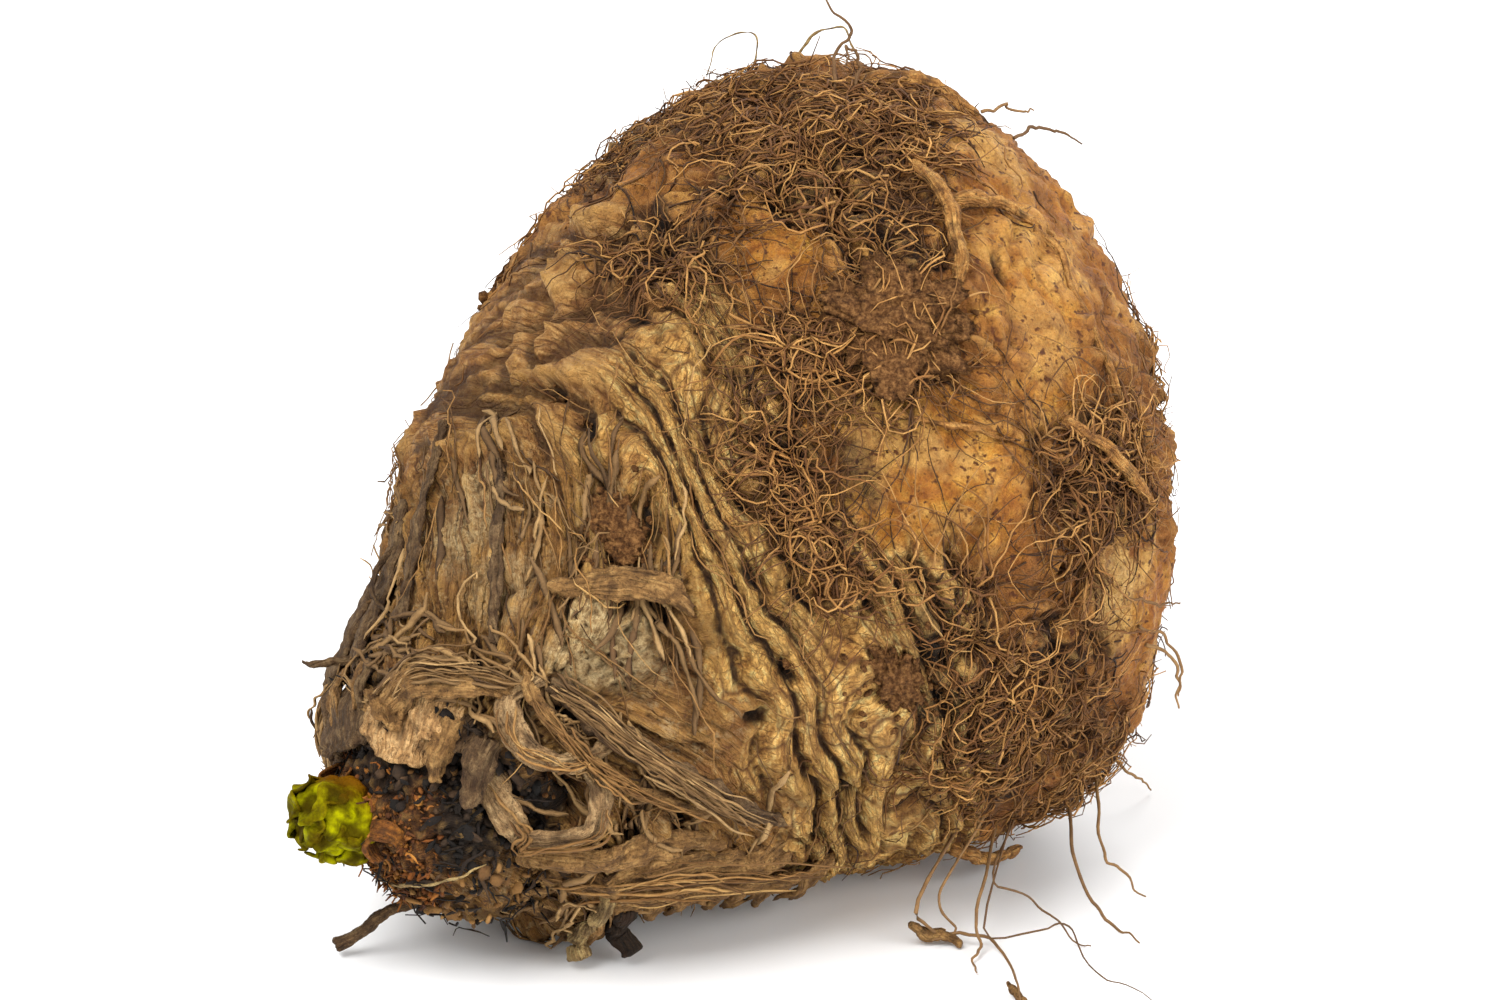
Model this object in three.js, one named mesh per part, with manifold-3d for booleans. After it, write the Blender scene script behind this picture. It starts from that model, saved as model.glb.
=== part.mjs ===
// A baby celeriac lying on its side: one swollen corm with its crown, the young leaves, the
// husks and stubs of old leaf stalks, thick side roots, tangles of fine roots, clods of soil.
// Millimetres, +Z up, the surface that it lies on at z = 0.
import * as THREE from "three";
import Module from "manifold-3d";
import { mergeVertices } from "three/addons/utils/BufferGeometryUtils.js";

const wasm = await Module();
wasm.setup();

const { degToRad, lerp } = THREE.MathUtils;

// Pose of the corm's own axis, which runs from the root end to the crown.
const crownHeading = -131.3;
const crownDroop = 26.5;
const axisHeight = 33.4;
// Middle of the whole plant's footprint, seen from the corm's own middle.
const footprintMiddle = new THREE.Vector2(1.237, -1.979);
const pieceGap = 0.3;
const sproutMiddle = new THREE.Vector3(-0.9, -2.4, 0);

// The corm as rings about its own axis, from the crown's tip to the root end.
// along: distance towards the crown. lean: how far the ring is shifted towards leanAngle.
const cormRings = [
  { along: 47.4, radius: 0, lean: 1 },
  { along: 46.6, radius: 4, lean: 1 },
  { along: 43.6, radius: 7.2, lean: 0.8 },
  { along: 38.5, radius: 8.2, lean: 0.4 },
  { along: 39, radius: 9.5, lean: 0.5 },
  { along: 41, radius: 11, lean: 1 },
  { along: 37, radius: 13.5, lean: 1.5 },
  { along: 30, radius: 17.8, lean: 3 },
  { along: 21, radius: 23.2, lean: 5 },
  { along: 10, radius: 28.4, lean: 6 },
  { along: -1, radius: 31.4, lean: 6 },
  { along: -12, radius: 30.8, lean: 4.6 },
  { along: -21, radius: 26.8, lean: 2.6 },
  { along: -29, radius: 19.4, lean: 0.6 },
  { along: -34, radius: 10.4, lean: -0.3 },
  { along: -36, radius: 0, lean: -0.5 },
];
const lipRing = 5;
const leanAngle = degToRad(43.5);
const cormTurns = 44;
const cormStations = 30;
// Swellings and hollows of the skin, by angle about the axis (0 underneath) and distance.
const cormBulges = [
  { angle: 8, along: -8, reach: 15, height: 1.8 },
  { angle: 43, along: -6, reach: 13, height: 1.3 },
  { angle: 50, along: -27, reach: 12, height: -1.3 },
  { angle: 208, along: 19, reach: 6, height: 0.8 },
  { angle: 176, along: 12, reach: 6, height: 0.9 },
  { angle: 150, along: 22, reach: 5, height: -0.9 },
  { angle: 118, along: 8, reach: 7, height: 0.7 },
  { angle: 262, along: 6, reach: 9, height: 1.2 },
  { angle: 305, along: 20, reach: 7, height: -1 },
  { angle: 318, along: -6, reach: 9, height: 1 },
  { angle: 240, along: -18, reach: 8, height: -1 },
  { angle: 18, along: 42, reach: 9, height: 2.6 },
  { angle: 206, along: -12, reach: 11, height: -1.1 },
  { angle: 222, along: 18, reach: 8, height: 1.2 },
  { angle: 226, along: 34, reach: 7, height: -2 },
  { angle: 2, along: 44, reach: 6, height: 2.9 },
  { angle: 70, along: -22, reach: 8, height: -0.8 },
];

// The ring curve holds radius, lean and along in its x, y and z.
const ringCurve = new THREE.CatmullRomCurve3(
  cormRings.map((ring) => new THREE.Vector3(ring.radius, ring.lean, ring.along)),
  false, "centripetal");

// The ring of the outer skin at one distance along the axis, below the crown's lip.
function ringAt(along) {
  let high = lipRing / (cormRings.length - 1);
  let low = 1;
  for (let i = 0; i < 24; i++) {
    const middle = (high + low) / 2;
    if (ringCurve.getPoint(middle).z > along) high = middle;
    else low = middle;
  }
  return ringCurve.getPoint(low);
}

function ringPoint(ring, angle) {
  let radius = Math.max(ring.x, 0);
  for (const bulge of cormBulges) {
    const turn = angle - degToRad(bulge.angle);
    const sideways = Math.atan2(Math.sin(turn), Math.cos(turn)) * ring.x;
    const offset = Math.hypot(sideways, ring.z - bulge.along) / bulge.reach;
    radius += bulge.height * Math.exp(-offset * offset) * Math.min(1, ring.x / 10);
  }
  return new THREE.Vector3(
    radius * Math.cos(angle) + ring.y * Math.cos(leanAngle),
    radius * Math.sin(angle) + ring.y * Math.sin(leanAngle), ring.z);
}

// A place above the skin with the directions there: around the axis, and out of the skin.
function skinFrame(along, angleDegrees, height = 0) {
  const angle = degToRad(angleDegrees);
  const point = ringPoint(ringAt(along), angle);
  const around = ringPoint(ringAt(along), angle + 0.02).sub(point).normalize();
  const rootward = ringPoint(ringAt(along - 0.4), angle).sub(point).normalize();
  const outward = new THREE.Vector3().crossVectors(rootward, around).normalize();
  if (outward.dot(new THREE.Vector3(Math.cos(angle), Math.sin(angle), 0)) < 0) outward.negate();
  return { point: point.addScaledVector(outward, height), around, outward };
}

function skinPoint([along, angle, height]) {
  return skinFrame(along, angle, height).point;
}

function cormGeometry() {
  const rings = ringCurve.getSpacedPoints(cormStations);
  const profile = rings.map((ring, i) => new THREE.Vector2(Math.max(ring.x, 0), -i));
  profile[0].x = 0;
  profile[cormStations].x = 0;
  const geometry = new THREE.LatheGeometry(profile, cormTurns);
  const places = geometry.getAttribute("position");
  for (let i = 0; i < places.count; i++) {
    const station = Math.round(-places.getY(i));
    const atPole = station === 0 || station === cormStations;
    const angle = atPole ? 0 : Math.atan2(places.getX(i), places.getZ(i));
    const point = ringPoint(rings[station], angle);
    places.setXYZ(i, point.x, point.y, point.z);
  }
  return geometry;
}

// One skin without doubled corners or empty triangles, turned so that it faces outward.
function mergedGeometry(geometry) {
  const bare = geometry.clone();
  bare.deleteAttribute("normal");
  bare.deleteAttribute("uv");
  const merged = mergeVertices(bare, 1e-4);
  const places = merged.getAttribute("position");
  const corners = Array.from(merged.index.array);
  const kept = [];
  let volume = 0;
  for (let i = 0; i < corners.length; i += 3) {
    const [a, b, c] = corners.slice(i, i + 3);
    if (a === b || b === c || c === a) continue;
    kept.push(a, b, c);
    const [p, q, r] = [a, b, c].map((corner) => new THREE.Vector3().fromBufferAttribute(places, corner));
    volume += p.dot(q.cross(r));
  }
  if (volume < 0) kept.reverse();
  merged.setIndex(kept);
  merged.computeVertexNormals();
  return merged;
}

function solidOf(geometry) {
  const merged = mergedGeometry(geometry);
  return new wasm.Manifold(new wasm.Mesh({
    numProp: 3,
    vertProperties: merged.getAttribute("position").array,
    triVerts: new Uint32Array(merged.index.array),
  }));
}

function geometryOf(solid) {
  const mesh = solid.getMesh();
  const geometry = new THREE.BufferGeometry();
  geometry.setAttribute("position",
    new THREE.BufferAttribute(new Float32Array(mesh.vertProperties), 3));
  geometry.setIndex(new THREE.BufferAttribute(new Uint32Array(mesh.triVerts), 1));
  geometry.computeVertexNormals();
  return geometry;
}

// The same skin moved out by the gap, to keep the other pieces clear of the corm.
function grownCorm() {
  const merged = mergedGeometry(cormGeometry());
  const places = merged.getAttribute("position");
  const normals = merged.getAttribute("normal");
  for (let i = 0; i < places.count; i++) {
    places.setXYZ(i, places.getX(i) + normals.getX(i) * pieceGap,
      places.getY(i) + normals.getY(i) * pieceGap, places.getZ(i) + normals.getZ(i) * pieceGap);
  }
  return merged;
}

const plant = new THREE.Group();
plant.rotation.set(0, degToRad(90 + crownDroop), degToRad(crownHeading), "ZYX");
plant.position.set(-footprintMiddle.x, -footprintMiddle.y, axisHeight);
plant.updateMatrixWorld(true);
const upward = new THREE.Vector3(0, 0, 1).applyQuaternion(plant.quaternion.clone().invert());

// A place given over the resting surface, as seen from below the corm's middle.
function groundPoint([x, y, z]) {
  return plant.worldToLocal(new THREE.Vector3(x, y, z).add(
    new THREE.Vector3(-footprintMiddle.x, -footprintMiddle.y, 0)));
}

function aboveGround(solid) {
  return solid.trimByPlane(upward.toArray(), -axisHeight);
}

// A value part of the way along an evenly spaced list.
function valueAt(values, share) {
  const place = share * (values.length - 1);
  const before = Math.min(Math.floor(place), values.length - 2);
  return lerp(values[before], values[before + 1], place - before);
}

// A taper along a path: a round bar of the given radii, from the first point to the last.
function rootShape({ points, radii, sides = 5, steps = 8 }, grow) {
  const curve = new THREE.CatmullRomCurve3(points);
  const frames = curve.computeFrenetFrames(steps);
  const geometry = new THREE.CylinderGeometry(1, 1, steps, sides, steps);
  const places = geometry.getAttribute("position");
  for (let i = 0; i < places.count; i++) {
    const step = Math.round(steps / 2 - places.getY(i));
    const radius = valueAt(radii, step / steps) + grow;
    const point = curve.getPointAt(step / steps)
      .addScaledVector(frames.normals[step], places.getX(i) * radius)
      .addScaledVector(frames.binormals[step], places.getZ(i) * -radius)
      .addScaledVector(frames.tangents[step], step === 0 ? -grow : step === steps ? grow : 0);
    places.setXYZ(i, point.x, point.y, point.z);
  }
  return geometry;
}

// A strip over the skin. widths are read from end to end, and curl raises or lowers its edges.
function strapShape({ track, widths, thickness, curl = 0, steps = 8 }, grow) {
  const frames = track.map(([along, angle, height]) => skinFrame(along, angle, height));
  const curve = new THREE.CatmullRomCurve3(frames.map((frame) => frame.point));
  const outwards = new THREE.CatmullRomCurve3(frames.map((frame) => frame.outward));
  const geometry = new THREE.BoxGeometry(2, 1, steps, 2, 1, steps);
  const places = geometry.getAttribute("position");
  for (let i = 0; i < places.count; i++) {
    const step = Math.round(places.getZ(i) + steps / 2);
    const t = step / steps;
    const width = valueAt(widths, t) / 2 + grow;
    const tangent = curve.getTangent(t);
    const outward = outwards.getPoint(t);
    const sideways = new THREE.Vector3().crossVectors(outward, tangent).normalize();
    outward.crossVectors(tangent, sideways).normalize();
    const edge = places.getX(i);
    const lift = curl * edge * edge + places.getY(i) * (thickness + 2 * grow);
    const point = curve.getPoint(t)
      .addScaledVector(sideways, edge * width)
      .addScaledVector(outward, lift)
      .addScaledVector(tangent, step === 0 ? -grow : step === steps ? grow : 0);
    places.setXYZ(i, point.x, point.y, point.z);
  }
  return geometry;
}

// A patch of matted roots or soil that follows the skin, thickest in the middle.
function padShape({ along, angle, length, breadth, thickness, ragged = 0.12 }, grow) {
  const geometry = new THREE.SphereGeometry(1, 13, 6);
  const places = geometry.getAttribute("position");
  for (let i = 0; i < places.count; i++) {
    const [x, y, z] = [places.getX(i), places.getZ(i), places.getY(i)];
    const turn = Math.atan2(y, x);
    const edge = 1 + ragged * (Math.sin(3 * turn + along) + Math.sin(5 * turn + angle)) / 2;
    const station = Math.max(along + x * edge * (length / 2 + grow), -35.5);
    const radius = Math.max(ringAt(station).x, 6);
    const place = angle + y * edge * (breadth / 2 + grow) / radius * 180 / Math.PI;
    const wave = 1 + 0.12 * Math.sin(x * 5 + angle) * Math.sin(y * 6 + along);
    const height = 1.5 * pieceGap + (z > 0 ? (thickness * wave + grow) * z : -grow);
    const point = skinPoint([station, place, height]);
    places.setXYZ(i, point.x, point.y, point.z);
  }
  return geometry;
}

// A lump with an uneven face, sized along the axis, around it and out of the skin.
function clodShape({ along, angle, height, size }, grow) {
  const { point, around, outward } = skinFrame(along, angle, height);
  const lengthways = new THREE.Vector3().crossVectors(around, outward);
  const geometry = new THREE.SphereGeometry(1, 9, 7);
  const places = geometry.getAttribute("position");
  for (let i = 0; i < places.count; i++) {
    const [x, y, z] = [places.getX(i), places.getY(i), places.getZ(i)];
    const rough = 1 + 0.16 * Math.sin(4.1 * x + along) * Math.cos(3.7 * y + angle)
      + 0.1 * Math.sin(6 * z + along);
    const place = point.clone()
      .addScaledVector(lengthways, x * (size[0] / 2 * rough + grow))
      .addScaledVector(around, y * (size[1] / 2 * rough + grow))
      .addScaledVector(outward, z * (size[2] / 2 * rough + grow));
    places.setXYZ(i, place.x, place.y, place.z);
  }
  return geometry;
}

// A small leaf about the heart, its hollow side turned to the axis.
function leafShape({ angle, path, widths, thickness = 0.6, cup = 0.6, steps = 6 }, grow) {
  const outward = new THREE.Vector3(Math.cos(degToRad(angle)), Math.sin(degToRad(angle)), 0);
  const sideways = new THREE.Vector3(-outward.y, outward.x, 0);
  const curve = new THREE.CatmullRomCurve3(path.map(([radius, along]) =>
    sproutMiddle.clone().addScaledVector(outward, radius).setZ(along)));
  const geometry = new THREE.BoxGeometry(2, 1, steps, 4, 1, steps);
  const places = geometry.getAttribute("position");
  for (let i = 0; i < places.count; i++) {
    const step = Math.round(places.getZ(i) + steps / 2);
    const t = step / steps;
    const width = valueAt(widths, t) / 2 + grow;
    const tangent = curve.getTangent(t);
    const face = new THREE.Vector3().crossVectors(sideways, tangent).normalize();
    const edge = places.getX(i);
    const point = curve.getPoint(t)
      .addScaledVector(sideways, edge * width)
      .addScaledVector(face, places.getY(i) * (thickness + 2 * grow) - cup * edge * edge)
      .addScaledVector(tangent, step === 0 ? -grow : step === steps ? grow : 0);
    places.setXYZ(i, point.x, point.y, point.z);
  }
  return geometry;
}

const placed = [];

// Adds a piece cut clear of the corm, of the surface below and of every piece before it.
function addPiece(name, colour, roughness, shape) {
  let solid = aboveGround(solidOf(shape(0)).subtract(cormClear));
  const box = solid.boundingBox();
  for (const other of placed) {
    const apart = [0, 1, 2].some((axis) =>
      other.box.min[axis] > box.max[axis] || other.box.max[axis] < box.min[axis]);
    if (!apart) solid = solid.subtract(other.grown);
  }
  const bodies = solid.decompose();
  solid = bodies.reduce((best, body) => (body.volume() > best.volume() ? body : best));
  const grown = solidOf(shape(pieceGap));
  placed.push({ grown, box: grown.boundingBox() });
  const material = new THREE.MeshStandardMaterial({ color: colour, roughness, metalness: 0 });
  material.name = name.replace(/_\d+$/, "");
  const mesh = new THREE.Mesh(geometryOf(solid), material);
  mesh.name = name;
  plant.add(mesh);
}

const cormSolid = aboveGround(solidOf(cormGeometry()));
const cormClear = solidOf(grownCorm());
const corm = new THREE.Mesh(geometryOf(cormSolid),
  new THREE.MeshStandardMaterial({ color: 0xa8804f, roughness: 0.8, metalness: 0 }));
corm.name = "corm";
corm.material.name = "corm";
plant.add(corm);

// Young leaves folded over the crown's heart: by angle, the radius and distance of each point.
const heartLeaves = [
  { angle: 185, path: [[1.9, 46.6], [2.2, 48], [1.9, 49.4], [0.8, 50.6]], widths: [1.8, 2.8, 2.6, 1] },
  { angle: 300, path: [[1.9, 46.6], [2.2, 48], [1.9, 49.2], [1, 50.2]], widths: [1.8, 2.8, 2.4, 1] },
  { angle: 65, path: [[1.9, 46.6], [2.2, 48], [1.9, 49.3], [0.9, 50.4]], widths: [1.8, 2.8, 2.4, 1] },
  { angle: 240, path: [[3.2, 45.6], [3.7, 47.2], [3.6, 48.8], [2.8, 50.2]], widths: [2.4, 3.8, 3.6, 1.4] },
  { angle: 355, path: [[3.2, 45.4], [3.8, 46.8], [3.9, 48.2], [3.3, 49.4]], widths: [2.2, 3.4, 3.2, 1.2] },
  { angle: 125, path: [[3.2, 45.6], [3.7, 47], [3.6, 48.5], [2.8, 49.8]], widths: [2.4, 3.6, 3.4, 1.4] },
];

// Husks of old leaf bases about the crown, as strips over the skin of [along, angle, height].
const leafBases = [
  { track: [[39.2, 192, 0.9], [39.6, 174, 1.5], [38.7, 160, 1.7], [37.2, 149, 1.4], [36, 140, 0.9]],
    widths: [1.2, 1.9, 1.9, 1.6, 1], thickness: 0.9, curl: -0.3 },
  { track: [[39, 117, 2.2], [39.2, 100, 2.5], [39.4, 82, 2.6], [38, 73, 2.5], [36, 76, 2.5],
    [35, 86, 2.3], [35.4, 96, 2.1]], widths: [1.2, 1.5, 1.8, 1.8, 1.6, 1.4, 1], thickness: 3.6,
    steps: 11 },
  { track: [[39, 124, 1.6], [37.2, 133, 1.9], [34.8, 133, 2], [33.6, 123, 1.9], [34.8, 109, 1.5]],
    widths: [1, 1.4, 1.5, 1.4, 1], thickness: 3, steps: 9 },
  { track: [[39.4, 208, 1], [40, 192, 1.6], [39.6, 178, 1.2]],
    widths: [0.8, 2.4, 0.8], thickness: 0.8, steps: 6 },
  { track: [[39.6, 66, 0.9], [36.8, 66, 1.6], [32, 62, 1.7], [26.5, 53, 1.5], [22.5, 46, 0.9]],
    widths: [2, 4, 5, 4.4, 2], thickness: 1.1, curl: -0.8 },
  { track: [[39.8, 28, 0.8], [37.4, 22, 1.1], [33, 18, 0.9]],
    widths: [3, 5, 3], thickness: 0.9, curl: -0.6, steps: 6 },
  { track: [[40.4, 330, 0.9], [37, 326, 1.6], [31, 323, 1.7], [25, 322, 1]],
    widths: [3, 7, 6, 2], thickness: 1, curl: -1.2 },
  { track: [[40.8, 290, 0.9], [38, 284, 1.8], [33, 281, 1.8], [27, 282, 1]],
    widths: [3, 7, 6, 2.4], thickness: 1, curl: -1.2 },
  { track: [[40.6, 252, 0.9], [37.6, 248, 1.7], [32, 247, 1.6], [26, 250, 0.9]],
    widths: [3, 6.4, 6, 2.4], thickness: 1, curl: -1 },
  { track: [[40.2, 224, 0.7], [37, 219, 0.9], [31, 216, 0.9], [25, 218, 0.7]],
    widths: [2.4, 4, 3.6, 1.8], thickness: 0.7, curl: -0.3 },
];

// Straps of dead leaf stalk lying over the neck.
const stalkStraps = [
  { track: [[34.2, 142, 0.9], [33.8, 112, 1.1], [30.8, 88, 1.3], [26, 69, 0.9]],
    widths: [2, 3.4, 3, 1.2], thickness: 0.8, steps: 10 },
  { track: [[29, 154, 0.8], [27.4, 147, 1.6], [25.4, 142, 1.8], [24.2, 132, 0.9]],
    widths: [1, 2.8, 2.6, 0.8], thickness: 0.8, curl: -0.5 },
  { track: [[23, 184, 0.7], [29.4, 171, 0.9], [34.2, 157, 0.8]],
    widths: [0.8, 1.6, 1], thickness: 0.7, steps: 6 },
  { track: [[20, 206, 0.7], [28, 200, 1], [35.4, 190, 0.8]],
    widths: [0.8, 1.8, 1.2], thickness: 0.7, steps: 6 },
  { track: [[33, 302, 0.8], [28.6, 294, 1.1], [23.4, 276, 0.8]],
    widths: [1, 2.6, 1], thickness: 0.8, steps: 6 },
];

// Broken stubs of leaf stalk and root about the crown, each from the skin to its free end.
const stubs = [
  { points: [skinPoint([36, 40, 0.2]), skinPoint([35.4, 44, 2]), groundPoint([-8.4, -27.6, 1.3])],
    radii: [1.1, 1, 0.8], colour: 0x2a211b },
  { points: [skinPoint([37.6, 56, 0.4]), skinPoint([38, 52, 2.4]), groundPoint([-12.4, -28.6, 1.6])],
    radii: [0.6, 0.7, 1.1, 0.9], colour: 0xa48662 },
  { points: [skinPoint([43.5, 352, 0.1]), groundPoint([-28.8, -25.6, 3.4]),
    groundPoint([-32, -25.8, 1.2])], radii: [0.7, 0.7, 0.6], colour: 0x4f4237 },
  { points: [skinPoint([37.5, 230, 0.4]), skinPoint([37.9, 229, 2]), skinPoint([38.6, 227, 3.6])],
    radii: [0.5, 0.45, 0.3], colour: 0x5a4632 },
];

// Thick side roots pressed to the skin.
const sideRoots = [
  { track: [[-12.6, 149, 1.2], [-11.4, 145, 1.9], [-9, 140, 1.7], [-6.2, 136, 0.9]],
    radii: [0.6, 1, 0.9, 0.5] },
  { track: [[-13, 144, 0.6], [-16, 138, 1], [-19.3, 127, 0.7]], radii: [0.5, 0.9, 0.5] },
  { track: [[-21.6, 170, 0.8], [-25, 163, 1.2], [-28, 152, 0.8]], radii: [0.8, 1.3, 0.7] },
  { track: [[-5.6, 112, 0.8], [-7.6, 101, 1.2], [-9.6, 88, 0.8]], radii: [0.6, 0.9, 0.5] },
  { track: [[5.2, 131, 0.6], [3, 126, 0.8], [0.6, 119, 0.5]], radii: [0.4, 0.6, 0.3] },
  { track: [[12, 40, 0.8], [8, 36, 3], [3, 30, 3.6]], radii: [0.8, 0.8, 0.5] },
  { track: [[-29, 250, 0.8], [-26, 270, 1.5], [-19, 280, 1.2]], radii: [0.7, 1.3, 0.6] },
  { track: [[-31, 60, 0.8], [-27, 48, 1.4], [-20, 44, 1]], radii: [0.6, 1.2, 0.6] },
  { track: [[-8, 322, 0.8], [-15, 328, 1.5], [-22, 340, 1]], radii: [0.6, 1.1, 0.6] },
];

// Mats of fine rootlets that cover much of the corm.
const rootMats = [
  { along: -10, angle: 168, length: 25, breadth: 32, thickness: 1.6 },
  { along: 4, angle: 177, length: 8, breadth: 9, thickness: 1.1 },
  { along: 3.5, angle: 141, length: 15, breadth: 19, thickness: 1.6 },
  { along: -4.6, angle: 104, length: 13, breadth: 15, thickness: 1.5 },
  { along: 9, angle: 78, length: 17, breadth: 22, thickness: 1.6 },
  { along: -14, angle: 214, length: 20, breadth: 24, thickness: 1.4 },
  { along: -4, angle: 262, length: 22, breadth: 26, thickness: 1.6 },
  { along: -16, angle: 312, length: 22, breadth: 26, thickness: 1.5 },
  { along: -3, angle: 42, length: 20, breadth: 22, thickness: 1.6 },
  { along: -28, angle: 236, length: 11, breadth: 17, thickness: 1.2 },
  { along: -25.4, angle: 84, length: 9, breadth: 13, thickness: 1.1 },
];

// Single roots that stand clear of the mats; some reach the surface.
const strayRoots = [
  { points: [skinPoint([-20, 174, 1]), skinPoint([-21.2, 175, 4]), skinPoint([-20.6, 177, 6.8])],
    radii: [0.3, 0.25, 0.2], steps: 6 },
  { points: [skinPoint([-27.6, 140, 1]), skinPoint([-29.4, 136, 2.6]), skinPoint([-30.4, 126, 4])],
    radii: [0.3, 0.25, 0.2], steps: 6 },
  { points: [skinPoint([2, 46, 1]), groundPoint([29, -20, 5]), groundPoint([31, -25, 1]),
    groundPoint([34, -31, 0.6])], radii: [0.35, 0.3, 0.3, 0.25], steps: 9 },
  { points: [skinPoint([12, 50, 1]), groundPoint([15, -31, 3]), groundPoint([19, -35, 0.8]),
    groundPoint([22.6, -37.6, 0.6])], radii: [0.45, 0.4, 0.35, 0.3], steps: 9 },
  { points: [skinPoint([-5, 70, 1]), skinPoint([-6, 66, 3.2]), skinPoint([-4, 62, 4.6])],
    radii: [0.3, 0.25, 0.2], steps: 6 },
  { points: [skinPoint([-12, 20, 1.2]), groundPoint([33, 6, 4]), groundPoint([36.4, 9, 0.8])],
    radii: [0.4, 0.35, 0.25], steps: 6 },
  { points: [skinPoint([-2, 312, 1.4]), groundPoint([4, 33, 8]), groundPoint([1, 35.6, 0.8])],
    radii: [0.4, 0.35, 0.25], steps: 6 },
];

const soilClods = [
  { along: 1, angle: 141, height: 2.5, size: [6.4, 7, 2.2] },
  { along: 16.2, angle: 96, height: 1.2, size: [6, 7, 2.4] },
  { along: 23.4, angle: 153, height: 0.6, size: [4.4, 4.6, 1.8] },
  { along: 0, angle: 228, height: 1.3, size: [5, 6, 2.4] },
  { along: 12, angle: 292, height: 1, size: [5, 5.4, 2.2] },
];

heartLeaves.forEach((leaf, i) =>
  addPiece(`sprout_leaf_${i + 1}`, 0xa7a01c, 0.5, (grow) => leafShape(leaf, grow)));
stubs.forEach(({ colour, ...stub }, i) =>
  addPiece(`stalk_stub_${i + 1}`, colour, 0.9, (grow) => rootShape(stub, grow)));
leafBases.forEach((husk, i) =>
  addPiece(`leaf_base_${i + 1}`, 0x9a7a55, 0.85, (grow) => strapShape(husk, grow)));
stalkStraps.forEach((strap, i) =>
  addPiece(`stalk_strap_${i + 1}`, 0xab8a5f, 0.85, (grow) => strapShape(strap, grow)));
sideRoots.forEach(({ track, radii }, i) =>
  addPiece(`side_root_${i + 1}`, 0xb08451, 0.8,
    (grow) => rootShape({ points: track.map(skinPoint), radii, sides: 7 }, grow)));
soilClods.forEach((clod, i) =>
  addPiece(`soil_clod_${i + 1}`, 0x4a3320, 0.95, (grow) => clodShape(clod, grow)));
strayRoots.forEach((root, i) =>
  addPiece(`stray_root_${i + 1}`, 0x8f6a41, 0.85, (grow) => rootShape(root, grow)));
rootMats.forEach((mat, i) =>
  addPiece(`root_mat_${i + 1}`, 0x7d5733, 0.9, (grow) => padShape(mat, grow)));

plant.updateMatrixWorld(true);

export default plant;
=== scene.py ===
import math
import bpy
import numpy as np
from mathutils import Matrix, Vector, noise
from mathutils.bvhtree import BVHTree


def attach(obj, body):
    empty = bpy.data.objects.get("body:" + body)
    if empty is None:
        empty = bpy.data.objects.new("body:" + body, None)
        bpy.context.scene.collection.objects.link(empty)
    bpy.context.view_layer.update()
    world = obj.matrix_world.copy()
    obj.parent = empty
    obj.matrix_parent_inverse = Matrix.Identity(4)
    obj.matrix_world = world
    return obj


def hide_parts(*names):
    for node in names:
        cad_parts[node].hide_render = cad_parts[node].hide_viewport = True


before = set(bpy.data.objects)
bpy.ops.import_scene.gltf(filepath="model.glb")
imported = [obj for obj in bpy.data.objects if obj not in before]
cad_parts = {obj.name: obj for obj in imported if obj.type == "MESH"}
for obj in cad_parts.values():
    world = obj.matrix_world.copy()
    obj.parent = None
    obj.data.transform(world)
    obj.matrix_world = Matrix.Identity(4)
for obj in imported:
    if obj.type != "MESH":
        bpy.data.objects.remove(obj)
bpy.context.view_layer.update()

mm = 0.001
clearance = 0.00025   # how near the floor the middle of a thin thing may lie
print("celeriac: frame loaded")

# The corm's own axis: from its middle towards the crown, tipped down and turned to the left.
axis = {
    "middle": Vector((-1.237, 1.979, 33.4)) * mm,
    "heading": math.radians(-131.3),
    "droop": math.radians(26.5),
    "leanAngle": math.radians(43.5),   # the side to which the rings bulge
    "leanAlong": [-36, -34, -29, -21, -12, -1, 10, 21, 30, 37, 41, 47],
    "leanBy": [-0.5, -0.3, 0.6, 2.6, 4.6, 6, 6, 5, 3, 1.5, 1, 1],
}
plantTurn = Matrix.Rotation(axis["heading"], 3, "Z") @ Matrix.Rotation(math.pi / 2 + axis["droop"], 3, "Y")
turnArray = np.array(plantTurn)
middleArray = np.array(axis["middle"])
crownWay = turnArray[:, 2]


def spotsOf(places):
    # along the axis in mm, angle round it in degrees (0 underneath), distance from it in mm
    local = (places - middleArray) @ turnArray * 1000
    lean = np.interp(local[:, 2], axis["leanAlong"], axis["leanBy"])
    x = local[:, 0] - lean * math.cos(axis["leanAngle"])
    y = local[:, 1] - lean * math.sin(axis["leanAngle"])
    return local[:, 2], np.degrees(np.arctan2(y, x)) % 360, np.hypot(x, y)


def ringMiddle(along):
    lean = np.interp(along, axis["leanAlong"], axis["leanBy"])
    local = Vector((lean * math.cos(axis["leanAngle"]), lean * math.sin(axis["leanAngle"]), along))
    return axis["middle"] + plantTurn @ (local * mm)


def outwardAt(angle):
    return plantTurn @ Vector((math.cos(math.radians(angle)), math.sin(math.radians(angle)), 0))


def smoothStep(value, low, high):
    t = np.clip((value - low) / (high - low), 0, 1)
    return t * t * (3 - 2 * t)


def noiseOf(points, seed=0, octaves=3):
    shift = np.array([seed * 17.31, seed * 5.77, seed * 11.93])
    return np.array([noise.fractal(p, 0.9, 2.05, octaves) for p in map(Vector, (points + shift).tolist())])


def chanceOf(first, second=0.0):
    # the same number from 0 to 1 for the same pair of cells
    return np.abs(np.sin(first * 12.9898 + second * 78.233 + 1.7) * 43758.5453) % 1


def turnGap(angle, other):
    return (angle - other + 180) % 360 - 180


def unit(vectors):
    return vectors / (np.linalg.norm(vectors, axis=-1, keepdims=True) + 1e-12)


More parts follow.
